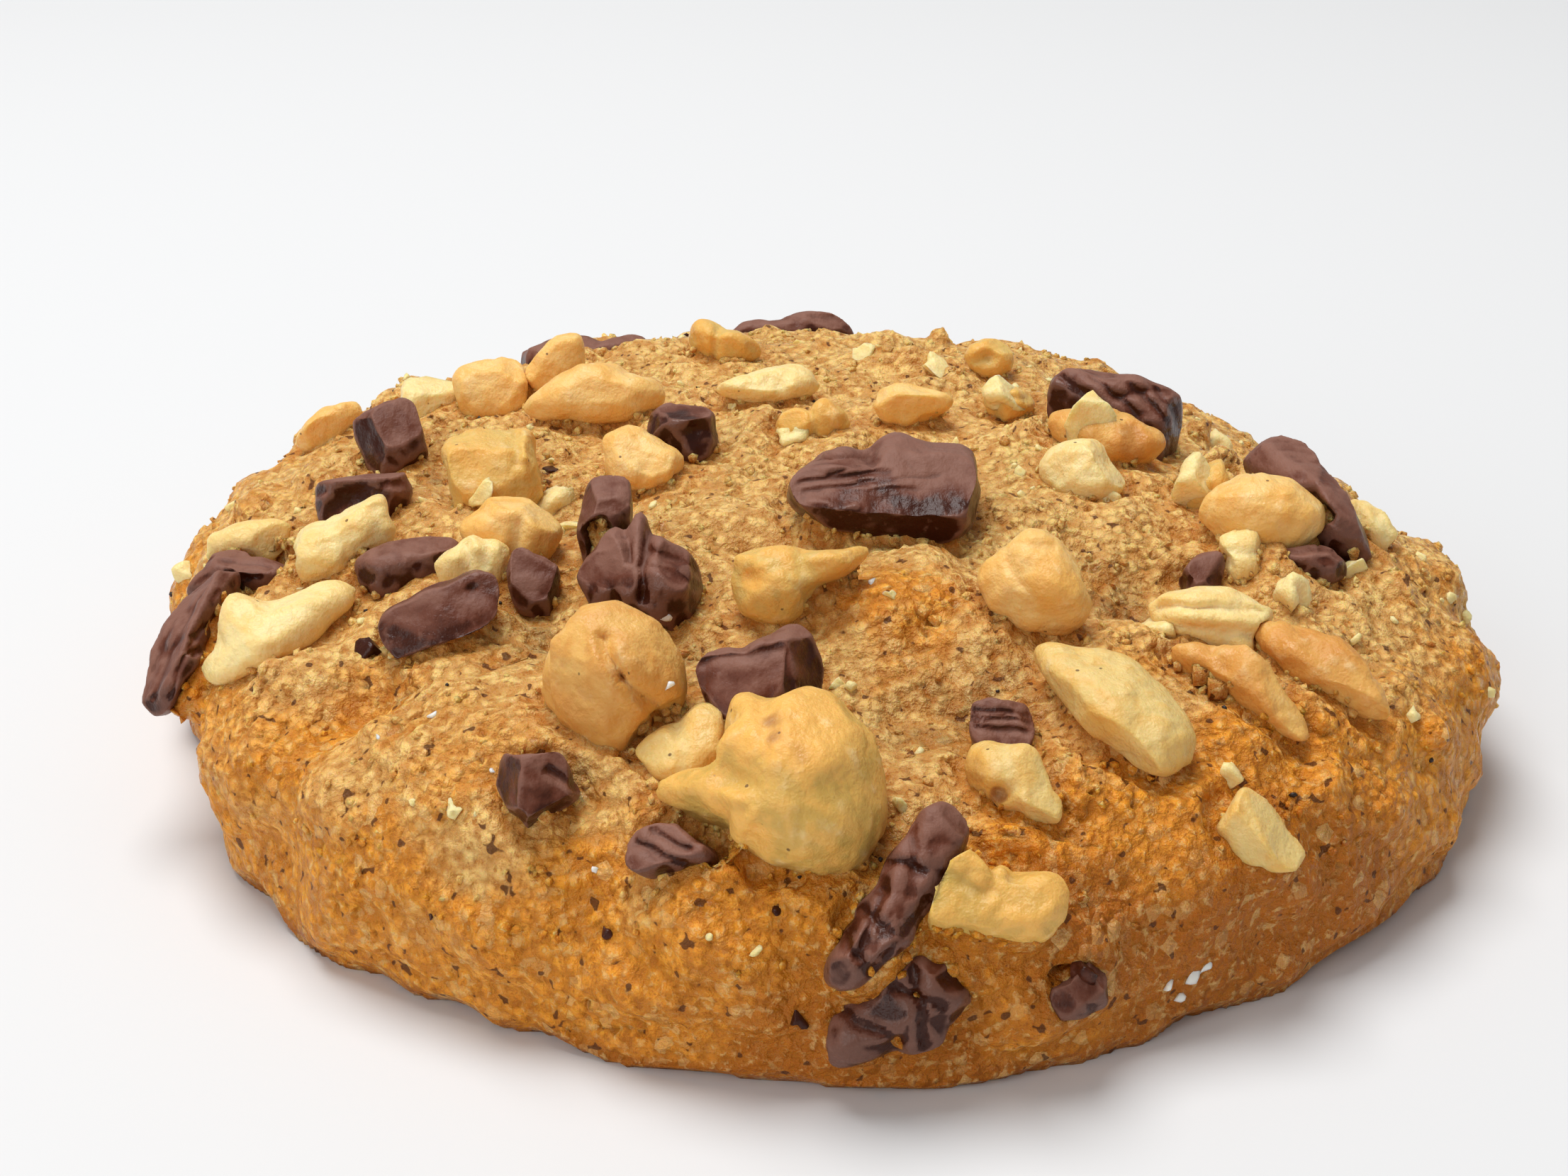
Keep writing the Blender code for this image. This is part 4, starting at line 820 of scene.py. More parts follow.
        (trimmed, ((-2.9, 1.3), (-2.3, 2.0), (-0.9, 2.3), (0.7, 2.6), (1.8, 2.4), (2.5, 1.8), (2.7, 0.6),
            (2.7, -0.6), (2.4, -1.5), (1.8, -2.0), (-1.6, -2.2), (-2.3, -1.2), (-2.6, 0.0))),
        (face, (0.0, 0.1, 1.0), 0.5), (spot_value, (1.6, 0.4), 1.4, 0.5),
        (spot_value, (-1.8, -1.2), 1.0, 0.7),
    ),
    "leaning_back": (
        (trimmed, ((-2.3, -0.5), (-2.1, 0.3), (-1.4, 1.2), (-0.4, 2.1), (0.5, 2.8), (1.3, 3.0), (1.9, 2.7),
            (2.1, 1.9), (2.2, 0.6), (2.1, -1.0), (1.5, -2.3), (0.5, -2.4), (-1.7, -1.3))),
        (spot_value, (-0.6, -0.4), 1.4, 0.6),
    ),
    "lobed_back": (
        (trimmed, ((-2.1, -0.4), (-2.2, 0.6), (-1.9, 1.4), (-1.3, 1.8), (-0.5, 1.8), (0.1, 1.4), (0.6, 0.9),
            (1.4, 0.9), (2.6, 0.2), (3.4, -0.5), (3.0, -1.3), (2.2, -1.8), (0.3, -2.1), (-1.0, -1.6))),
        (groove, (0.1, 1.0), (-0.4, -1.0), 0.35, 0.6), (spot_value, (-1.0, 0.0), 1.0, 0.6),
    ),
    "pale_back": (
        (trimmed, ((-4.1, -0.3), (-2.7, 0.5), (-1.5, 0.9), (0.0, 1.3), (1.4, 1.8), (2.6, 1.6), (3.3, 0.8),
            (3.8, 0.1), (3.2, -0.7), (2.0, -1.2), (0.6, -1.4), (-1.4, -1.4), (-3.0, -0.9))),
        (dent, (0.9, -0.1), 0.5, 0.5), (groove, (-2.8, 0.0), (-0.6, 0.5), 0.4, -0.25),
    ),
    "knob_back": (
        (trimmed, ((-2.7, 0.0), (-2.3, 0.8), (-1.4, 1.3), (-0.7, 1.2), (-0.3, 0.9), (0.1, 1.6), (0.7, 1.9),
            (1.4, 1.5), (2.3, 0.9), (2.6, 0.0), (1.9, -1.1), (0.9, -1.6), (-0.8, -1.8), (-2.2, -1.1))),
        (groove, (-0.3, 0.9), (0.2, -1.2), 0.25, 0.4), (spot_value, (-1.2, -0.2), 1.3, 0.5),
    ),
    "pointed_back": (
        (trimmed, ((-2.8, 0.4), (-2.4, 1.3), (-1.5, 1.7), (-0.1, 1.9), (1.2, 1.6), (2.3, 1.2), (3.0, 0.6),
            (2.6, -0.1), (1.5, -0.6), (0.4, -1.2), (-0.6, -1.6), (-1.9, -1.1), (-2.6, -0.3))),
        (face, (0.1, 0.9, 0.4), 0.5), (spot_value, (0.8, -0.6), 1.6, 0.8),
    ),
    "ring_back_right": (
        (trimmed, ((-2.1, 0.1), (-1.7, 0.9), (-0.6, 1.4), (0.4, 1.4), (1.3, 0.9), (1.7, 0.0), (1.4, -1.0),
            (0.6, -1.6), (-0.6, -1.7), (-1.6, -1.0))),
        (dent, (-0.4, -0.1), 0.6, 0.9), (dent, (-1.2, -0.4), 0.4, 0.4),
    ),
    "bit_back_right": (
        (trimmed, ((-1.8, 0.2), (-1.3, 0.9), (-0.4, 1.1), (0.6, 1.1), (1.6, 0.7), (2.1, -0.1), (1.8, -0.8),
            (0.6, -1.4), (-0.4, -1.5), (-1.2, -0.8))),
        (groove, (-0.6, 0.2), (1.4, 0.0), 0.3, 0.25), (spot_value, (0.4, -0.9), 1.0, 1.0),
    ),
}
print("nuts with strokes of their own:", len(NUT_STROKES))

# %% [markdown]
# ## The nuts
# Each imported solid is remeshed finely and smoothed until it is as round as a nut. Then come its strokes and
# the relief that a knife leaves: soft dents, and the torn grain of broken faces. A sculptor would do this by
# hand; noise at three sizes is quicker and as uneven. Pieces that are not halves get broken faces at random.
# %% Shape the nuts
NUT_VOXEL = 0.24
NUT_SMOOTHING = 7
NUT_SWELL = 0.16
NUT_FIRST_SEED = 90
NUT_BREAKS = 2
NUT_BREAK_DEPTH = 0.5
NUT_EDGE = 0.06
EDGE_ROUNDS = 5
ROUND_NUTS = ("half", "hooked", "split", "leaf")
ROAST_OF = {
    "pale": ("star_left", "crumbly_left", "flat_right", "chip_right", "leaf_left", "sliver_left", "pale_back",
             "chunk_centre", "rim_right"),
    "deep": ("hooked_front", "notched_front"),
    "waxy": ("behind_hooked", "chunk_right_front", "skin_front", "half_front_right"),
    "golden": ("half_back", "half_centre", "block_back_left", "half_back_right", "rim_back_left",
               "leaning_back", "cube_left", "toasted_left", "pointed_back"),
    "tan": ("split_round", "toasted_right", "sliver_right", "half_right"),
}


def roast_of(node):
    short = node.removeprefix("peanut_")
    return next((roast for roast, names in ROAST_OF.items() if short in names), "cream")


def nut_relief(places, chopped):
    """Soft dents all over and, on chopped pieces, the torn grain of a broken face."""
    dents = clouds(places, 2.6, 2.0) * 0.16
    torn = (np.abs(clouds(places, 1.3, 6.0)) - 0.25) * 0.26 + clouds(places, 0.7, 9.0) * 0.07
    return dents + torn * chopped


def dressed(piece, material):
    """Shading, material and body of a finished piece."""
    piece.data.shade_smooth()
    piece.data.materials.clear()
    piece.data.materials.append(material)
    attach(piece, "root")


nuts = []
for index, node in enumerate(nut_nodes):
    strokes = NUT_STROKES.get(node.removeprefix("peanut_"), ())
    if not any(word in node for word in ROUND_NUTS):
        breaks = roughly_broken(index + NUT_FIRST_SEED, NUT_BREAKS, NUT_BREAK_DEPTH)
        strokes = (*strokes[:1], *breaks, *strokes[1:])
    name = node.replace("peanut_", "nut_")
    nut, toast = shaped(node, name, NUT_VOXEL, NUT_SMOOTHING, NUT_SWELL, strokes)
    places, normals = points_of(nut.data)
    chopped = 0.25 + 0.75 * smoothstep(clouds(places, 4.0, 30.0 + index), -0.1, 0.2)
    relief = nut_relief(places, chopped)
    set_points(nut.data, places + normals * relief[:, None])
    soften(nut, 1)
    edges = np.maximum(standing_out(nut.data, EDGE_ROUNDS, NUT_EDGE), 0)
    store(nut.data, "edge", smoothstep(relief, 0.05, 0.3) * 0.5 + edges)
    store(nut.data, "toast", toast)
    dressed(nut, nut_finishes[roast_of(node)])
    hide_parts(node)
    nuts.append(nut)
print(len(nuts), "nuts,", sum(len(nut.data.polygons) for nut in nuts), "quads")

# %% [markdown]
# ## The finish of the chocolate
# Dark chocolate that has melted in the oven and set again is dull brown with a purple bloom on its upper
# faces, and darker and shiny where it is freshly broken or still smooth. The bloom is stored on the mesh,
# by how far a face looks upwards and how far a wrinkle rises: it is real bloom and also painted light,
# upper faces painted paler and the sides darker. Edges are painted paler, as highlight and as rubbing,
# and creases darker as painted shade, by how far each point stands out. Fine ripples and scratches come
# from stretched noise.
# %% Mix the chocolate material
DARK_CHOCOLATE = (0.045, 0.0095, 0.0036)
BROWN_CHOCOLATE = (0.130, 0.037, 0.019)
BLOOM_AND_HIGHLIGHT = (0.265, 0.125, 0.088)
CLOUD_SIZE = 2.6
SCUFF_SIZE = 0.5
SCUFF_DEPTH = 0.10
RIPPLE_SIZE = 1.2
RIPPLE_DEPTH = 0.22
CHOCOLATE_GLOW = (1.0, 0.4, 0.3)
CHOCOLATE_GLOW_DEPTH = 0.4
CHOCOLATE_GLOW_SHARE = 0.05
CHOCOLATE_SHEEN = 0.22


def chocolate_material(name):
    recipe = Recipe(name)
    cloudy = recipe.noise(CLOUD_SIZE, detail=5.0, rough=0.6)
    # Real bloom and painted light: paler where a face looks up, darker chocolate on the sides.
    bloom_and_top_light = recipe.math("ADD", recipe.stored("bloom_and_top_light"), recipe.range(cloudy, 0.3, 0.7, -0.35, 0.35))
    colour = recipe.mix(recipe.range(bloom_and_top_light, 0.0, 0.55), DARK_CHOCOLATE, BROWN_CHOCOLATE)
    colour = recipe.mix(recipe.range(bloom_and_top_light, 0.45, 1.15, 0.0, 0.75), colour, BLOOM_AND_HIGHLIGHT)
    along = recipe.stretched((1.0, 0.35, 0.8), turn=(0, 20, 35))
    scuffs = recipe.noise(SCUFF_SIZE, detail=3.0, along=along)
    colour = recipe.mix(recipe.range(scuffs, 0.58, 0.72, 0.0, 0.30), colour, BLOOM_AND_HIGHLIGHT)
    # Painted highlight on edges that stand out, which are also rubbed, and painted shade in creases.
    colour = recipe.mix(recipe.range(recipe.stored("edge_highlight_crease_shade"), 0.25, 1.0, 0.0, 0.55), colour, BLOOM_AND_HIGHLIGHT)
    colour = recipe.mix(recipe.range(recipe.stored("edge_highlight_crease_shade"), -0.2, -1.0, 0.0, 0.35), colour, DARK_CHOCOLATE)
    recipe.set(
        Base_Color=colour, Roughness=recipe.range(bloom_and_top_light, 0.0, 1.0, 0.30, 0.58),
        Subsurface_Weight=CHOCOLATE_GLOW_SHARE, Subsurface_Radius=CHOCOLATE_GLOW,
        Subsurface_Scale=CHOCOLATE_GLOW_DEPTH * MM, Specular_IOR_Level=CHOCOLATE_SHEEN,
    )
    recipe.add_bump(scuffs, SCUFF_DEPTH, SOFT_BUMP)
    recipe.add_bump(recipe.noise(RIPPLE_SIZE, detail=4.0, rough=0.6), RIPPLE_DEPTH, SOFT_BUMP)
    return recipe.material


chocolate_finish = chocolate_material("dark chocolate")
print("chocolate material:", chocolate_finish.name)

# %% [markdown]
# ## The outlines of the chunks
# Chopped from a bar: flat cleaved faces that meet in edges, a little slumped from the heat. As for the nuts,
# an outline comes first, then the faces, the scraped lines, and the patches that shine.
# %% Outlines and strokes of the chunks
CHUNK_STROKES = {
    "stick_front": (
        (trimmed, ((1.9, 5.2), (3.6, 4.8), (4.3, 3.6), (3.7, 1.6), (2.8, -0.4), (1.4, -1.7), (0.5, -2.7),
            (-0.9, -3.7), (-2.6, -5.0), (-3.8, -4.1), (-3.4, -2.2), (-2.7, -1.4), (-2.0, 0.0), (-1.0, 0.8),
            (-0.6, 1.8), (0.3, 3.6), (1.0, 4.7))),
        (face, (0.55, 0.55, 0.5), 0.5), (groove, (-0.7, 2.3), (1.4, 1.6), 0.30, 0.4),
        (groove, (0.9, 4.0), (0.9, 0.6), 0.3, 0.25), (groove, (-2.3, 0.2), (-0.4, -1.5), 0.3, 0.45),
        (groove, (-2.9, -1.4), (-1.4, -3.4), 0.28, 0.4), (groove, (-0.6, 0.6), (-2.0, -2.6), 0.22, 0.3),
        (groove, (1.6, 0.2), (-0.6, -2.6), 0.25, 0.25), (spot_value, (0.4, -0.4), 4.6, 0.5),
    ),
    "lump_front": (
        (trimmed, ((-4.4, -2.4), (-3.8, -3.1), (-1.6, -2.4), (0.2, -2.2), (1.8, -1.6), (2.7, -0.3),
            (3.4, 1.2), (2.5, 2.8), (0.6, 3.6), (-1.0, 2.8), (-3.1, 1.3), (-4.4, -0.6))),
        (face, (-0.3, 0.1, 0.95), 0.6), (face, (0.6, 0.4, 0.6), 0.6),
        (groove, (0.2, 3.0), (0.8, -1.4), 0.3, 0.5), (groove, (-0.8, 1.6), (1.8, 0.8), 0.25, 0.4),
        (groove, (-3.6, 0.2), (-0.4, -1.2), 0.3, 0.4), (spot_value, (0.0, 0.0), 4.0, 0.4),
    ),
    "chip_front": (
        (trimmed, ((-1.7, -0.8), (-1.4, 0.2), (-0.3, 0.6), (0.2, 1.2), (1.0, 1.8), (1.8, 1.0), (1.9, -0.8),
            (0.7, -1.5), (-0.9, -1.6))),
        (face, (0.1, 0.2, 1.0), 0.5), (face, (0.7, 0.5, 0.5), 0.4),
    ),
    "pyramid_front": (
        (trimmed, ((-2.5, 0.3), (-2.2, 2.0), (-0.3, 2.1), (1.2, 2.25), (1.8, 1.3), (1.7, 0.5), (2.3, -0.3),
            (1.2, -1.1), (-0.3, -2.4), (-1.6, -1.3))),
        (face, (0.25, 0.15, 0.95), 1.3), (face, (-0.85, 0.1, 0.6), 1.1), (face, (0.5, -0.8, 0.3), 0.5),
        (pull, (0.0, 0.0), 4.0, (0.0, 0.0, 0.7)), (groove, (0.6, 1.2), (2.0, 0.4), 0.22, 0.4),
    ),
    "flake_front": (
        (trimmed, ((-2.6, -0.5), (-2.0, 0.9), (-1.1, 1.4), (0.3, 1.4), (1.0, 0.7), (1.9, 0.2), (2.8, -0.7),
            (1.4, -1.1), (0.3, -1.4), (-1.1, -1.6), (-2.3, -1.0))),
        (face, (-0.2, 0.5, 0.8), 0.5), (groove, (-1.8, 0.2), (0.6, -0.6), 0.22, 0.4),
        (groove, (-1.0, 1.0), (0.9, 0.2), 0.2, 0.3),
    ),
    "wedge_centre": (
        (trimmed, ((-4.0, 0.9), (-2.4, 1.9), (-1.3, 1.7), (-0.5, 2.2), (0.4, 2.5), (1.2, 3.2), (2.2, 3.1),
            (2.9, 2.0), (3.6, 0.3), (3.2, -1.8), (-1.4, -3.3), (-3.2, -1.8))),
        (face, (-0.15, 0.3, 0.95), 1.7), (face, (0.8, 0.1, 0.6), 1.2),
        (pull, (-1.0, 0.0), 5.0, (0.0, 0.1, 1.1)), (groove, (1.3, 3.0), (1.9, -0.8), 0.25, -0.25),
        (groove, (-3.4, 1.0), (0.8, 1.8), 0.3, 0.25),
    ),
    "bit_centre": (
        (trimmed, ((-1.8, 0.3), (-1.6, 1.7), (-0.6, 1.9), (1.5, 1.6), (1.9, 0.6), (1.8, -0.7), (0.9, -1.9),
            (-0.2, -1.9), (-1.5, -1.0))),
        (face, (0.0, 0.3, 0.95), 0.5), (groove, (-1.5, 1.2), (1.6, 0.9), 0.14, 0.25),
        (groove, (-1.5, 0.8), (1.6, 0.4), 0.14, 0.25), (groove, (-1.4, 0.3), (1.6, -0.1), 0.14, 0.25),
    ),
    "rim_left": (
        (trimmed, ((-3.2, -3.2), (-3.0, -1.1), (-2.3, 0.7), (-1.5, 2.4), (-0.4, 3.3), (1.1, 4.1),
            (2.7, 3.9), (1.9, 2.8), (1.4, 1.4), (0.8, -0.4), (0.9, -1.5), (0.0, -2.9), (-0.7, -4.3),
            (-1.6, -5.2), (-2.8, -4.7))),
        (face, (-0.5, 0.2, 0.8), 0.5), (face, (0.6, -0.1, 0.7), 0.5),
        (groove, (0.4, 3.2), (-1.9, -3.6), 0.25, 0.35), (groove, (1.2, 2.6), (-0.8, -3.6), 0.22, 0.3),
        (groove, (-1.0, 2.4), (-2.4, -2.2), 0.2, 0.25),
    ),
    "ridge_left": (
        (trimmed, ((-3.4, -0.8), (-2.4, 0.4), (-1.9, 1.5), (-0.7, 1.9), (0.4, 1.8), (1.2, 1.4), (2.3, 1.1),
            (3.6, 0.6), (3.4, -0.3), (2.2, -0.8), (0.4, -1.6), (-2.2, -2.5), (-3.1, -2.0))),
        (face, (0.0, 0.9, 0.4), 0.5), (groove, (-1.8, 1.2), (2.4, 0.6), 0.3, 0.4),
        (groove, (-1.0, 0.6), (1.6, 0.0), 0.3, 0.3),
    ),
    "slab_left": (
        (trimmed, ((-3.9, -0.6), (-2.9, 0.5), (-1.4, 1.4), (0.4, 2.1), (2.1, 2.8), (3.4, 2.4), (3.6, 1.1),
            (3.5, -0.1), (2.7, -1.0), (0.9, -1.8), (-0.8, -2.4), (-1.9, -2.8), (-3.2, -2.1))),
        (face, (-0.05, 0.30, 0.95), 2.3), (face, (0.3, -0.85, 0.35), 0.4), (dent, (2.0, 1.4), 0.25, 0.35),
        (pull, (0.4, -0.6), 6.0, (0.0, 0.2, 2.2)), (spot_value, (0.0, 0.0), 5.0, 0.25),
    ),
    "plate_left": (
        (trimmed, ((-4.0, 0.1), (-3.3, 0.9), (-2.1, 1.5), (-0.5, 1.9), (1.0, 2.0), (2.3, 1.9), (2.8, 0.9),
            (3.0, -0.2), (2.6, -0.9), (0.2, -1.6), (-2.2, -2.3), (-3.2, -1.7))),
        (face, (0.0, 0.9, 0.4), 0.4),
    ),
    "cube_left": (
        (trimmed, ((-1.9, 0.6), (-1.8, 1.8), (-1.4, 2.4), (-0.9, 2.5), (-0.4, 2.0), (0.4, 1.8), (1.2, 1.3),
            (1.4, 0.5), (1.3, -0.5), (1.5, -1.5), (0.6, -2.0), (-1.0, -1.9), (-1.5, -1.3))),
        (face, (0.1, 0.4, 0.9), 1.3), (face, (0.9, -0.1, 0.3), 0.5),
    ),
    "saddle_left": (
        (trimmed, ((-3.4, 1.7), (-2.6, 1.6), (-1.6, 1.6), (-0.3, 1.8), (1.0, 2.2), (2.5, 2.5), (2.9, 1.7),
            (3.3, 0.6), (3.0, -0.6), (2.4, -1.3), (0.0, -1.8), (-2.1, -2.3), (-2.9, -1.4), (-3.2, 0.3))),
        (dent, (-0.6, 0.2), 1.2, 0.7), (face, (0.0, 0.95, 0.2), 0.5),
        (groove, (-3.0, 1.2), (2.6, 1.7), 0.3, -0.3),
    ),
    "block_left": (
        (trimmed, ((-2.8, 1.1), (-1.7, 1.8), (-0.5, 2.5), (0.7, 2.8), (1.6, 2.4), (2.1, 1.5), (2.4, 0.3),
            (2.6, -1.1), (2.2, -2.1), (0.8, -2.8), (-0.9, -3.1), (-2.0, -2.0), (-2.6, -0.3))),
        (face, (0.2, 0.5, 0.85), 1.4), (face, (-0.7, -0.1, 0.7), 1.0),
    ),
    "slab_centre": (
        (trimmed, ((-6.2, 0.0), (-5.8, 1.3), (-4.1, 2.6), (-2.7, 3.4), (-1.2, 3.1), (-0.2, 3.9), (0.8, 4.4),
            (2.6, 4.0), (5.2, 3.6), (6.0, 2.7), (6.1, 0.2), (5.6, -2.2), (3.8, -2.9), (1.4, -3.4),
            (-1.0, -3.0), (-3.5, -2.0), (-5.6, -1.0))),
        (face, (0.02, 0.6, 0.8), 2.1), (face, (-0.05, -0.75, 0.6), 0.9),
        (pull, (-2.7, 2.5), 1.1, (0.0, 0.25, 0.75)), (groove, (-4.4, 2.3), (-1.4, 1.9), 0.20, 0.40),
        (groove, (-5.2, 0.9), (0.4, 1.5), 0.14, 0.22), (groove, (-5.0, 0.3), (-1.0, 0.7), 0.12, 0.20),
        (groove, (-1.6, 0.9), (3.2, 1.2), 0.12, 0.16), (groove, (-2.4, 0.2), (2.0, 0.4), 0.12, 0.14),
        (groove, (-4.6, -0.4), (-2.0, -0.8), 0.3, -0.25), (groove, (-3.4, 1.3), (-0.4, 2.2), 0.14, 0.20),
        (dent, (1.4, 3.2), 0.5, 0.2), (spot_value, (-0.6, -1.8), 3.4, 0.8),
        (spot_value, (3.6, -1.6), 2.2, 0.8), (spot_value, (2.6, 3.0), 2.6, -0.5),
    ),
    "ridged_centre": (
        (trimmed, ((-3.8, -0.6), (-3.4, 0.4), (-2.8, 1.2), (-1.8, 2.4), (-0.8, 3.2), (0.0, 3.7), (0.5, 3.3),
            (0.6, 2.0), (1.5, 2.0), (2.9, 1.3), (3.8, -0.3), (3.9, -1.9), (3.3, -3.0), (2.6, -4.0),
            (0.0, -3.6), (-2.7, -3.0), (-3.2, -1.4))),
        (groove, (0.55, 3.2), (0.4, -1.8), 0.35, 0.7), (groove, (-3.0, 0.6), (-2.6, -1.2), 0.3, 0.3),
        (face, (-0.5, 0.25, 0.85), 0.5), (groove, (0.9, 1.0), (3.6, 0.2), 0.25, 0.25),
        (groove, (0.9, 0.0), (3.6, -1.0), 0.25, 0.25), (spot_value, (2.2, -1.2), 1.8, 0.6),
        (spot_value, (-0.6, -1.6), 1.2, 0.4), (spot_value, (-1.0, 1.4), 1.6, -0.5),
    ),
    "upright_left": (
        (trimmed, ((-1.8, -0.6), (-1.6, 0.6), (-1.3, 1.8), (-1.0, 2.7), (-0.4, 3.1), (0.8, 3.1), (1.5, 2.9),
            (1.8, 2.2), (1.7, 1.2), (1.7, -1.6), (1.3, -2.4), (-0.8, -3.1), (-1.4, -2.4))),
        (face, (0.2, 0.3, 0.9), 0.6), (face, (-0.8, 0.3, 0.4), 0.5),
    ),
    "round_back": (
        (trimmed, ((-2.2, 0.4), (-1.8, 1.4), (-0.9, 1.9), (0.4, 1.8), (1.7, 1.7), (2.4, 1.1), (2.5, -0.1),
            (2.7, -1.0), (2.1, -1.8), (1.0, -2.4), (-1.6, -2.1), (-2.4, -1.0))),
        (dent, (0.9, -0.3), 0.7, 0.6), (face, (0.0, 0.9, 0.4), 0.6), (spot_value, (0.2, -0.6), 2.0, 0.9),
    ),
    "rim_right": (
        (trimmed, ((-3.7, 2.9), (-3.1, 3.8), (-1.7, 4.6), (0.0, 4.8), (0.7, 4.4), (1.1, 3.2), (1.7, 2.0),
            (2.2, 0.6), (2.9, -0.9), (3.8, -2.2), (4.2, -3.5), (2.8, -4.4), (0.8, -3.4), (-0.8, -1.6),
            (-2.2, 0.4), (-2.8, 1.8))),
        (face, (0.1, 0.9, 0.4), 0.6), (face, (0.9, 0.3, 0.3), 0.5),
        (groove, (-2.0, 3.6), (0.8, 2.6), 0.3, 0.3),
    ),
    "plate_right": (
        (trimmed, ((-2.8, 0.0), (-2.5, 0.8), (-1.2, 1.1), (0.4, 1.1), (1.7, 0.8), (2.2, 0.2), (2.6, -0.6),
            (2.3, -1.4), (1.6, -1.7), (-0.6, -1.3), (-2.0, -1.0))),
        (face, (0.0, 0.9, 0.5), 0.4), (groove, (-2.0, 0.4), (1.6, 0.6), 0.16, 0.25),
    ),
    "oval_right": (
        (trimmed, ((-0.8, -0.4), (-0.7, 0.6), (-0.3, 1.2), (0.5, 1.6), (1.6, 1.8), (1.9, 1.1), (1.8, 0.2),
            (1.5, -1.0), (0.6, -1.6), (-0.5, -1.5))),
        (face, (0.1, 0.5, 0.9), 0.5),
    ),
    "slab_back_right": (
        (trimmed, ((-5.1, 0.7), (-4.9, 1.9), (-4.4, 2.9), (-3.2, 3.3), (-1.2, 3.1), (1.0, 2.8), (3.0, 2.2),
            (4.2, 1.2), (4.5, -0.4), (4.2, -2.3), (2.6, -4.0), (0.0, -3.4), (-4.0, -2.4), (-4.6, -1.0))),
        (face, (0.0, 0.3, 0.95), 0.5), (groove, (-4.0, 2.6), (-1.4, 0.2), 0.3, 0.35),
        (groove, (-2.4, 3.0), (0.8, -0.4), 0.3, 0.35), (groove, (-0.6, 3.0), (2.6, -0.6), 0.3, 0.35),
        (groove, (1.4, 2.7), (4.2, -1.0), 0.3, 0.35), (groove, (-0.4, 1.0), (3.8, 1.6), 0.3, 0.25),
        (spot_value, (-3.6, 1.4), 1.6, 0.7), (spot_value, (3.0, 0.0), 1.6, 0.4),
    ),
    "long_back_left": (
        (trimmed, ((-5.2, 0.3), (-4.2, 1.3), (-2.9, 1.8), (-1.0, 1.8), (0.3, 1.8), (1.5, 1.5), (2.8, 1.8),
            (4.1, 2.1), (5.0, 1.8), (4.6, 0.6), (3.6, -0.9), (1.0, -1.7), (-4.0, -2.4), (-4.8, -1.2))),
        (groove, (-4.0, 1.2), (4.0, 1.6), 0.3, 0.3),
    ),
    "long_back": (
        (trimmed, ((-5.0, 0.1), (-3.8, 0.9), (-2.3, 1.4), (-0.8, 1.2), (0.6, 1.8), (2.1, 2.1), (3.6, 1.8),
            (4.7, 0.9), (5.3, 0.0), (4.6, -1.4), (3.6, -1.8), (-3.8, -1.9), (-4.8, -1.2))),
        (groove, (-4.0, 0.8), (0.6, 1.2), 0.3, 0.3), (groove, (1.0, 1.4), (4.0, 1.2), 0.3, 0.3),
    ),
}
print("chunks with strokes of their own:", len(CHUNK_STROKES))

# %% [markdown]
# ## The chocolate chunks
# The chunks are smoothed much less than the nuts, so that their edges stay. Each gets several broken faces
# at random before its own strokes, and wrinkles and small chips instead of dents.
# %% Shape the chunks
CHUNK_VOXEL = 0.22
CHUNK_SMOOTHING = 3
CHUNK_SWELL = 0.14
CHUNK_BREAKS = 6
CHUNK_BREAK_DEPTH = 0.6
CHUNK_EDGE = 0.05


def chunk_relief(places, shift):
    turned = places @ np.array(Matrix.Rotation(math.radians(shift * 40), 3, (0.2, 0.3, 1.0)))
    wrinkles = np.abs(clouds(turned * (1.0, 0.45, 1.0), 1.3, shift)) - 0.22
    lumps = clouds(places, 1.9, shift + 4.0)
    chips = smoothstep(clouds(places, 1.1, shift + 9.0), 0.42, 0.62)
    return wrinkles * 0.15 + lumps * 0.05 - chips * 0.04


chunks = []
for index, node in enumerate(chunk_nodes):
    breaks = roughly_broken(index, CHUNK_BREAKS, CHUNK_BREAK_DEPTH)
    strokes = (*breaks, *CHUNK_STROKES.get(node.removeprefix("chocolate_"), ()))
    name = node.replace("chocolate_", "chunk_")
    chunk, shine = shaped(node, name, CHUNK_VOXEL, CHUNK_SMOOTHING, CHUNK_SWELL, strokes)
    places, normals = points_of(chunk.data)
    relief = chunk_relief(places, float(index))
    set_points(chunk.data, places + normals * relief[:, None])
    soften(chunk, 1)
    # Real bloom and painted light: faces that look up and raised wrinkles paler, shine patches darker.
    store(chunk.data, "bloom_and_top_light", smoothstep(normals[:, 2], 0.2, 0.9) * 0.95 + relief * 0.8 - shine)
    # Painted highlight on edges that stand out, and painted shade in creases.
    store(chunk.data, "edge_highlight_crease_shade", standing_out(chunk.data, EDGE_ROUNDS, CHUNK_EDGE))
    dressed(chunk, chocolate_finish)
    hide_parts(node)
    chunks.append(chunk)
print(len(chunks), "chunks,", sum(len(chunk.data.polygons) for chunk in chunks), "quads")

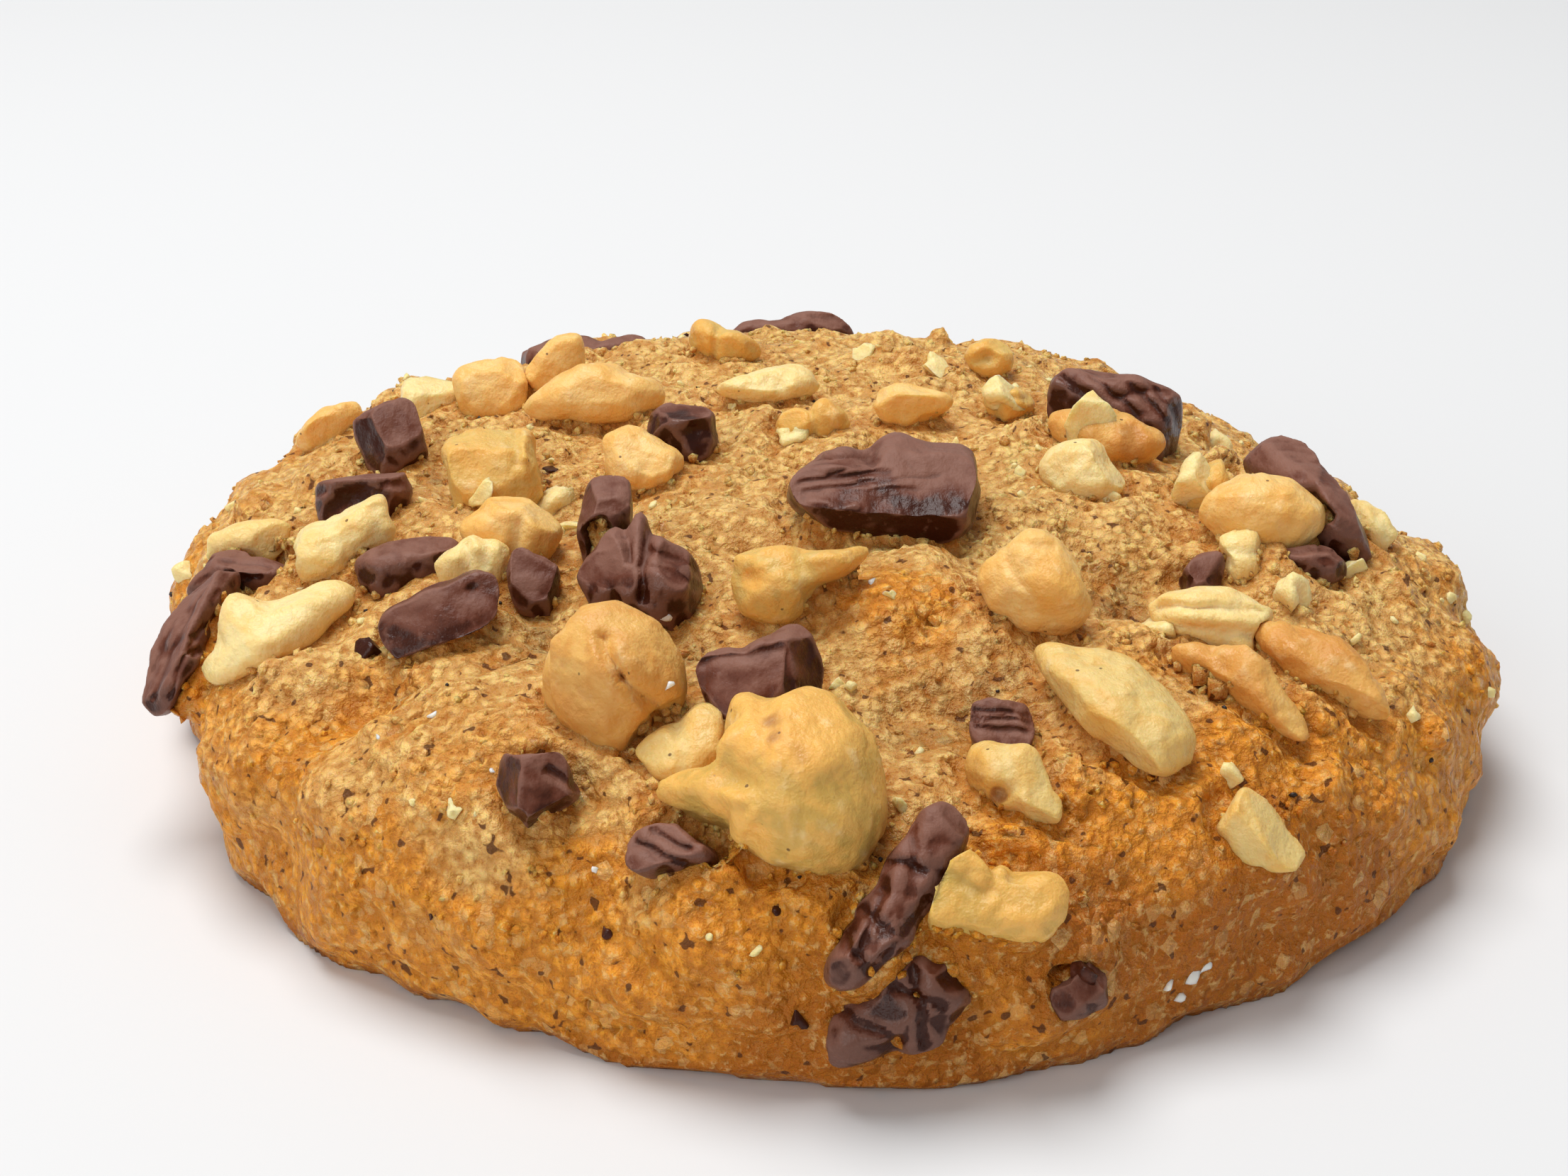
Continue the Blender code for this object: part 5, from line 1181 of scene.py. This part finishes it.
# %% [markdown]
# ## The dough
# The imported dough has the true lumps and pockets, but flat facets. Smaller copies of the toppings, sunk a
# little deeper, fill its pockets, so that nothing gapes beside a nut. A voxel remesh joins all of it and
# covers it with small even quads, and the smoothing melts the facets. The foot is spread nearly as far as the
# rim, and drawn in at the left. Faces that nobody sees, under the toppings and below, are thinned. At last
# the relief brings the crumb back: knolls of a few millimetres, granules, and open cracks. At the rim the
# dough swells against a topping, as it does in the oven, and on top it dips beside it.
# %% Shape the dough
DOUGH_VOXEL = 0.41
DOUGH_SMOOTHING = 9
BASE_HEIGHT = 0.25
MEET_REACH = 1.6
RIM_SWELL = 0.20
TOP_DIP = 0.75
SUNK_DEPTH = 0.35
DOUGH_KEPT = 0.6
HIDDEN_WEIGHT = 10.0
PIECE_FILLER = (0.97, 0.4)
SOLID_FILLER = (0.90, 1.3)
FOOT_SPOKES = 90
FOOT_SHARE = 0.978
FOOT_EVENING = 4
RIM_BELOW = 8.0
SOLE_BELOW = 0.7
NARROW_FOOT = ((-44.0, -14.0, 3.0), 8.0, (2.8, 0.9, 0.0))
SEARCH_REACH = 3.0


def dough_relief(places):
    """Height of the crumb in millimetres, and its painted shading: -1, painted shade, deep in a crack, and
    +1, painted light, on a grain.
    """
    knolls = np.abs(clouds(places, 5.2)) - 0.26
    lumps = clouds(places, 2.3, 5.0)
    bent = places + np.stack([clouds(places, 1.8, shift) for shift in (11.0, 13.0, 17.0)], 1) * 0.9
    plates = pebbles(bent, 1.35)
    sand = clouds(places, 0.8, 3.0)
    crumbly = smoothstep(clouds(places, 7.0, 4.0) + smoothstep(places[:, 2], 10.0, 17.0) * 0.5, -0.1, 0.6)
    cracks = smoothstep(np.abs(clouds(bent, 2.6, 8.0)), 0.05, 0.0) * crumbly
    rough = (0.45 + 0.75 * crumbly) * (0.55 + 0.45 * smoothstep(places[:, 2], 4.0, 10.0))
    height = knolls * 0.70 * rough + lumps * 0.26 * rough + (plates - 0.6) * 0.24 * rough
    height = height + sand * 0.16 - cracks * 0.45
    # Painted shading: grains and knolls are painted lighter, and cracks darker as shade.
    shading = (plates - 0.6) * 0.7 + sand * 0.3 + knolls * 0.3 - cracks * 0.9
    return height, shading


def thinned(obj, share, ratio):
    """Fewer faces at the points where share is true."""
    group = obj.vertex_groups.new(name="hidden")
    group.add(np.flatnonzero(share).tolist(), 1.0, "REPLACE")
    decimate = obj.modifiers.new("fewer hidden faces", "DECIMATE")
    decimate.ratio = ratio
    decimate.vertex_group = group.name
    decimate.vertex_group_factor = HIDDEN_WEIGHT
    return baked(obj)


def sunk(bm, mesh, share, depth):
    """Adds a smaller copy of a topping, sunk into the dough, so that nothing gapes beside the topping."""
    points = points_of(mesh)[0]
    middle = (points.min(0) + points.max(0)) / 2
    inwards = -middle / DOME**2
    inwards /= np.linalg.norm(inwards)
    places = (middle + (points - middle) * share + inwards * depth) * MM
    verts = [bm.verts.new(place) for place in places]
    for face in mesh.polygons:
        bm.faces.new([verts[corner] for corner in face.vertices])


def filled_dough():
    """The dough with its pockets filled nearly to the toppings that lie in them."""
    bm = merged_copy("dough")
    for piece, node in zip(nuts + chunks, nut_nodes + chunk_nodes):
        sunk(bm, piece.data, *PIECE_FILLER)
        sunk(bm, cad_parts[node].data, *SOLID_FILLER)
    return object_of(bm, "baked_dough")


def footed(places):
    """The foot spread out nearly as far as the rim above it, as dough sags while it bakes."""
    reach = np.hypot(places[:, 0], places[:, 1])
    angles = spoke_angles(places)
    middles = spoke_middles(FOOT_SPOKES)
    rim, sole = np.zeros(FOOT_SPOKES), np.zeros(FOOT_SPOKES)
    np.maximum.at(rim, spoke_of(places, FOOT_SPOKES), np.where(places[:, 2] < RIM_BELOW, reach, 0))
    np.maximum.at(sole, spoke_of(places, FOOT_SPOKES), np.where(places[:, 2] < SOLE_BELOW, reach, 0))
    rim = np.interp(angles, middles, evened(rim, FOOT_EVENING) * FOOT_SHARE, period=2 * math.pi)
    sole = np.interp(angles, middles, evened(sole, FOOT_EVENING), period=2 * math.pi)
    wanted = np.minimum(reach * np.maximum(rim / sole, 1.0), np.maximum(reach, rim))
    spread = 1 + (wanted / np.maximum(reach, 0.1) - 1) * (1 - smoothstep(places[:, 2], 1.5, 6.0))
    places[:, :2] *= spread[:, None]
    return places


dough = remeshed(filled_dough(), DOUGH_VOXEL, DOUGH_SMOOTHING)
places = footed(points_of(dough.data)[0])
pull(places, *NARROW_FOOT)
set_points(dough.data, places)
toppings_tree = tree_of(*nuts, *chunks)
places, normals = points_of(dough.data)
hidden = (distances(toppings_tree, places, SEARCH_REACH) < -SUNK_DEPTH) | (places[:, 2] < 0.05)
dough = thinned(dough, hidden, DOUGH_KEPT)
places, normals = points_of(dough.data)
gap = distances(toppings_tree, places, SEARCH_REACH)
nearness = 1 - smoothstep(gap, 0.1, MEET_REACH)
bare = smoothstep(gap, -SUNK_DEPTH, 0.15)
meeting = RIM_SWELL - (RIM_SWELL + TOP_DIP) * smoothstep(places[:, 2], 9.0, 14.0)
height, shading = dough_relief(places)
rise = smoothstep(places[:, 2], BASE_HEIGHT, 2.5)
move = (height * (1 - nearness * 0.3) + nearness * meeting) * bare - SUNK_DEPTH * (1 - bare)
normals[:, 2] *= rise
places += normals * (move * np.maximum(rise, 0.25))[:, None]
places[:, 2] = np.where(rise > 0, np.maximum(places[:, 2], 0.0), 0.0)
set_points(dough.data, places)
dough.data.calc_loop_triangles()
print("dough:", len(dough.data.loop_triangles), "triangles")

# %% [markdown]
# ## Where the dough is brown, and where shade is painted on it
# The dough browns most where it is low and far out, at the foot and along the rim. A few places are painted
# darker than their neighbours; at the right front of the rim that darkness is painted shade. In the dips
# between the toppings a greyish colour is painted shade, where the dough is also moister, and in the seams
# beside the toppings painted shade darkens it. A painter would brush these values on; here they follow the
# height and the reach.
# %% Colour values of the dough
PALE_HEIGHT = 21.0
HOLLOW_SHADE_WIDTH = 3.2
SEAM_SHADE = 0.80
# Places painted darker: the first two, at the right front of the rim, are painted shade; the others only
# darken the dough there.
DARKER_PLACES = (
    ((26.0, -38.0, 3.0), 12.0, 1.4), ((14.0, -41.0, 8.0), 7.0, 1.2), ((5.0, -22.5, 16.0), 5.0, 0.55),
    ((-40.0, -16.0, 9.0), 8.0, 0.30), ((-28.5, -26.5, 10.8), 8.0, 0.12), ((2.0, -47.0, 1.0), 10.0, 1.0),
)
SHADED_HOLLOWS = (
    (-16.5, -20.9), (6.8, -29.4), (18.5, -15.4), (-8.5, -25.4), (-15.2, -6.0), (-25.5, 3.2), (10.3, -28.0),
)


def browning_and_shade_of(places):
    """0 where the dough is pale, on top, and 1 at the foot of the rim and on its browned lip. At the right
    front of the rim it also holds painted shade.
    """
    low = 1 - smoothstep(places[:, 2], 0.0, PALE_HEIGHT)
    edge = smoothstep(np.hypot(places[:, 0], places[:, 1]), 36.0, 47.0)
    foot = 1 - smoothstep(places[:, 2], 0.0, 2.0)
    darkening = np.zeros(len(places))
    for middle, radius, amount in DARKER_PLACES:
        darkening = np.maximum(darkening, falloff(away_from(places, middle), radius) * amount)
    return low * 0.58 + edge * 0.15 + foot * 0.80 + darkening


def hollow_shade_of(places):
    """Painted shade: a greyish colour in the dips between the toppings, where the dough is also moister."""
    value = np.zeros(len(places))
    for middle in SHADED_HOLLOWS:
        value = np.maximum(value, falloff(away_from(places, middle), HOLLOW_SHADE_WIDTH))
    return value * 0.95 * smoothstep(clouds(places, 2.0, 21.0), -0.6, 0.1)


def store_tones(mesh, places, shading):
    store(mesh, "browning_and_shade", browning_and_shade_of(places))
    store(mesh, "hollow_shade", hollow_shade_of(places))
    store(mesh, "crumb", shading)


# The crumb's painted shading, and painted shade in the seams beside the toppings.
store_tones(dough.data, places, shading - nearness * SEAM_SHADE)
dressed(dough, dough_finish)
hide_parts("dough")
browning_and_shade = browning_and_shade_of(places)
print("dough browning from", round(browning_and_shade.min(), 2), "to", round(browning_and_shade.max(), 2))

# %% [markdown]
# ## Scattered crumbs
# Loose grains cling all over the cookie. Each kind is one mesh: a few grains are shaped from icospheres, and
# copies of them are turned, scaled and joined by array arithmetic, because thousands of bmesh calls
# would be slow. A particle system would draw them, but an exported model loses it.
# %% Define the scattering
GRAIN_SHAPES = 12
CRUMB_REACH = 1.0


def grain_shapes(seed, subdivisions=1, uneven=0.5, broken=0):
    """Points and faces of a few uneven pebbles of radius 1, with broken faces on them."""
    draw = random.Random(seed)
    shapes = []
    for index in range(GRAIN_SHAPES):
        bm = bmesh.new()
        bmesh.ops.create_icosphere(bm, subdivisions=subdivisions, radius=1.0)
        for vert in bm.verts:
            vert.co *= 1 + uneven * noise.noise(vert.co * 1.1 + Vector((seed, index * 3.1, 0)))
        for _ in range(broken):
            towards = Vector(draw.gauss(0, 1) for _ in range(3)).normalized()
            limit = draw.uniform(0.35, 0.75)
            for vert in bm.verts:
                vert.co -= towards * max(0.0, vert.co.dot(towards) - limit)
        faces = [[vert.index for vert in face.verts] for face in bm.faces]
        shapes.append((np.array([vert.co for vert in bm.verts]), faces))
        bm.free()
    return shapes


def samples_on(objects, count, draw):
    """Random places on the surfaces, spread by area, with their normals, in millimetres."""
    places = []
    normals = []
    areas = []
    for obj in objects:
        obj.data.calc_loop_triangles()
        corners = np.array([triangle.vertices for triangle in obj.data.loop_triangles])
        points = points_of(obj.data)[0][corners]
        cross = np.cross(points[:, 1] - points[:, 0], points[:, 2] - points[:, 0])
        size = np.linalg.norm(cross, axis=1)
        places.append(points)
        normals.append(cross / np.maximum(size, 1e-12)[:, None])
        areas.append(size)
    places, normals, areas = (np.concatenate(parts) for parts in (places, normals, areas))
    chosen = draw.choice(len(areas), count, p=areas / areas.sum())
    shares = draw.dirichlet((1.0, 1.0, 1.0), count)
    return (places[chosen] * shares[:, :, None]).sum(1), normals[chosen]


def turns(count, draw):
    """Random rotation matrices."""
    quaternions = draw.normal(size=(count, 4))
    w, x, y, z = (quaternions / np.linalg.norm(quaternions, axis=1)[:, None]).T
    rows = [
        1 - 2 * (y * y + z * z), 2 * (x * y - w * z), 2 * (x * z + w * y),
        2 * (x * y + w * z), 1 - 2 * (x * x + z * z), 2 * (y * z - w * x),
        2 * (x * z - w * y), 2 * (y * z + w * x), 1 - 2 * (x * x + y * y),
    ]
    return np.stack(rows, 1).reshape(-1, 3, 3)


def scatter(name, shapes, places, sizes, stretch, draw):
    """One object of turned copies of the shapes, one at each place, sizes in millimetres across."""
    count = len(places)
    rotations = turns(count, draw)
    scales = (sizes / 2)[:, None] * draw.uniform(1 - stretch, 1 + stretch, (count, 3))
    kinds = draw.integers(0, len(shapes), count)
    all_points = []
    all_faces = []
    start = 0
    for index in range(count):
        points, faces = shapes[kinds[index]]
        all_points.append((points * scales[index]) @ rotations[index].T + places[index])
        all_faces.extend([start + corner for corner in face] for face in faces)
        start += len(points)
    mesh = bpy.data.meshes.new(name)
    mesh.from_pydata((np.concatenate(all_points) * MM).tolist(), [], all_faces)
    mesh.update()
    return linked(name, mesh)


print("shapes of grain:", GRAIN_SHAPES)

# %% [markdown]
# ## Grains and seam crumbs
# Grains lie thickest where noise lets them gather, on the upper half. Smaller crumbs sit in the seams, where
# the dough meets a nut or a chunk, and hide the clean line between the two.
# %% Scatter the dough grains
DOUGH_GRAINS = 1100
GRAIN_TRIES = 4
GRAINS_ABOVE = 7.0
GRAIN_CLEARANCE = 0.1
GRAIN_SIZES = (0.30, 0.80)
SEAM_CRUMBS = 900
SEAM_TRIES = 14
SEAMS_ABOVE = 3.0
SEAM_CRUMB_SIZES = (0.30, 0.85)
SEAM_WIDTH = 0.35
CRUMB_SHADING = 0.3


def crumbs_of_dough(name, shapes, places, sizes, stretch, draw):
    """Dough crumbs at the places, coloured like the dough there."""
    crumbs = scatter(name, shapes, places, draw.uniform(*sizes, len(places)), stretch, draw)
    crumb_places = points_of(crumbs.data)[0]
    store_tones(crumbs.data, crumb_places, np.full(len(crumb_places), CRUMB_SHADING))
    dressed(crumbs, crumb_finish)
    return crumbs


draw = np.random.default_rng(5)
places, _ = samples_on([dough], DOUGH_GRAINS * GRAIN_TRIES, draw)
keep = (places[:, 2] > GRAINS_ABOVE) & (distances(toppings_tree, places, CRUMB_REACH) > GRAIN_CLEARANCE)
keep &= clouds(places, 3.5, 40.0) > draw.uniform(-0.6, 0.35, len(places))
places = places[keep][:DOUGH_GRAINS]
grains = crumbs_of_dough("dough_grains", grain_shapes(2.0, broken=2), places, GRAIN_SIZES, 0.35, draw)
print("dough grains:", len(grains.data.polygons), "faces")
places, _ = samples_on([dough, *nuts, *chunks], SEAM_CRUMBS * SEAM_TRIES, draw)
seam = places[:, 2] > SEAMS_ABOVE
for surface in (toppings_tree, tree_of(dough)):
    seam &= np.abs(distances(surface, places, CRUMB_REACH)) < SEAM_WIDTH
places = places[seam][:SEAM_CRUMBS]
crumbs_of_dough("seam_crumbs", grain_shapes(3.0, broken=2), places, SEAM_CRUMB_SIZES, 0.4, draw)
print("seam crumbs:", len(places))

# %% [markdown]
# ## Bits seen in the picture
# Between the large pieces lie bits of nut, sugar and chocolate of one to four millimetres. Each is placed
# where the camera sees it: a ray goes from the camera through a point of the picture, given in millimetres
# to the right of the picture's middle and above it, and the bit sits where the ray meets the cookie.
# %% Place the chips, the sugar and the chocolate crumbs
NUT_CHIPS = (
    (-24.0, 13.0, 4.2), (15.2, 13.3, 2.6), (29.6, 10.0, 2.9), (-20.7, 6.5, 1.8), (-16.2, 5.9, 2.4),
    (0.6, 10.3, 1.8), (21.0, 11.8, 3.6), (34.5, -0.9, 3.2), (43.2, -8.8, 1.8), (30.8, -12.8, 2.0),
    (39.3, 1.2, 1.6), (28.4, 7.2, 3.6), (25.6, -3.0, 2.4), (-41.3, 1.2, 2.4), (-22.8, -15.2, 1.1),
    (7.5, -0.5, 1.1), (10.4, 15.4, 3.0), (5.2, 16.0, 2.2), (-14.6, 4.2, 1.5), (22.6, 6.2, 1.6),
)
SUGAR_GRAINS = (
    (26.5, -27.4, 1.0), (28.1, -26.6, 1.4), (29.0, -26.2, 0.9), (27.1, -28.3, 0.8), (-24.3, -8.7, 1.0),
    (-28.0, -10.2, 0.7), (-7.9, -6.8, 0.7), (-8.1, -2.0, 0.8), (6.0, 0.4, 0.6), (-20.0, -12.6, 0.6),
    (-13.0, -19.5, 0.6),
)
CHOCOLATE_CRUMBS = (
    (-16.1, 8.1, 1.6), (-28.6, -4.1, 2.2), (-12.4, -23.6, 0.9), (-0.6, -22.0, 0.7),
    (1.0, -29.6, 1.2), (20.6, -26.2, 1.5), (-24.3, -22.5, 0.5),
)
BIT_SUNK = 0.12
BIT_STRETCH = 0.3
SUGAR_WHITE = (0.95, 0.90, 0.78)
SUGAR_GLOW = (1.0, 0.8, 0.5)
SUGAR_GLOW_DEPTH = 0.8
whole_tree = tree_of(dough, *nuts, *chunks)


def seen_at(right, up):
    """Place and normal where the camera's ray through this point of the picture meets the cookie."""
    ray = Vector(-OUTWARDS * CAMERA_DISTANCE / MM + RIGHT * right + UPWARDS * up)
    hit = whole_tree.ray_cast(camera.location / MM, ray.normalized())
    return np.array(hit[0]), np.array(hit[1])


def bits(name, spots, shapes, finish):
    """One bit at each spot, sunk a little into what it lies on."""
    hits = [(*seen_at(right, up), size) for right, up, size in spots]
    places = np.array([place - normal * size * BIT_SUNK for place, normal, size in hits])
    sizes = np.array([spot[2] for spot in spots])
    piece = scatter(name, shapes, places, sizes, BIT_STRETCH, np.random.default_rng(len(spots)))
    dressed(piece, finish)


sugar = Recipe("sugar")
sugar.set(
    Base_Color=SUGAR_WHITE, Roughness=0.25, Subsurface_Weight=0.6, Subsurface_Radius=SUGAR_GLOW,
    Subsurface_Scale=SUGAR_GLOW_DEPTH * MM,
)
chip_shapes = grain_shapes(7.0, subdivisions=3, uneven=0.7, broken=4)
bits("nut_chips", NUT_CHIPS, chip_shapes, nut_finishes["pale"])
bits("sugar_grains", SUGAR_GRAINS, grain_shapes(9.0, subdivisions=2, broken=5), sugar.material)
bits("chocolate_crumbs", CHOCOLATE_CRUMBS, chip_shapes, chocolate_finish)
print("chips:", len(NUT_CHIPS), "sugar:", len(SUGAR_GRAINS), "chocolate crumbs:", len(CHOCOLATE_CRUMBS))

# %% [markdown]
# ## The far slope, nut meal and specks
# The camera doesn't see the far slope, but it gets as many small bits as the near one. The finest bits are
# too many to place, and are strewn all over: pale meal from the chopping, and a few black specks of skin.
# %% Strew the far slope, the meal and the specks
FAR_SIDE = -0.50
LOWEST_BEHIND = 5.0
BEHIND_CLEARANCE = 2.0
BEHIND_SUNK = 0.10
BEHIND_TRIES = 30
FINE_CLEARANCE = 0.2
FINE_STRETCH = 0.4
FINE_TRIES = 6
MEAL = 90
SPECKS = 30
SPECK_BLACK = (0.020, 0.008, 0.004)


def at_the_back(name, count, small, large, finish, seed):
    """Bits on the dough that faces away from the camera, sunk a little into it."""
    draw = np.random.default_rng(seed)
    places, normals = samples_on([dough], count * BEHIND_TRIES, draw)
    keep = (normals @ OUTWARDS < FAR_SIDE) & (places[:, 2] > LOWEST_BEHIND)
    keep &= distances(toppings_tree, places, SEARCH_REACH) > BEHIND_CLEARANCE
    places, normals = places[keep][:count], normals[keep][:count]
    sizes = draw.uniform(small, large, len(places))
    places -= normals * sizes[:, None] * BEHIND_SUNK
    dressed(scatter(name, chip_shapes, places, sizes, BIT_STRETCH, draw), finish)


def strewn(name, count, lowest, small, large, shapes, finish, seed):
    """Fine bits all over the dough above lowest."""
    draw = np.random.default_rng(seed)
    places, _ = samples_on([dough], count * FINE_TRIES, draw)
    keep = (places[:, 2] > lowest) & (distances(toppings_tree, places, CRUMB_REACH) > FINE_CLEARANCE)
    places = places[keep][:count]
    sizes = draw.uniform(small, large, len(places))
    dressed(scatter(name, shapes, places, sizes, FINE_STRETCH, draw), finish)


at_the_back("nut_chips_behind", 16, 1.8, 4.2, nut_finishes["golden"], 31)
at_the_back("chocolate_behind", 8, 1.6, 3.6, chocolate_finish, 32)
speck = Recipe("black specks")
speck.set(Base_Color=SPECK_BLACK, Roughness=0.5)
meal_shapes = grain_shapes(4.0, subdivisions=2, broken=4)
strewn("nut_meal", MEAL, 9.0, 0.35, 0.9, meal_shapes, nut_finishes["pale"], 12)
strewn("dark_specks", SPECKS, 2.0, 0.18, 0.42, grain_shapes(5.0), speck.material, 13)
print("meal:", MEAL, "specks:", SPECKS)
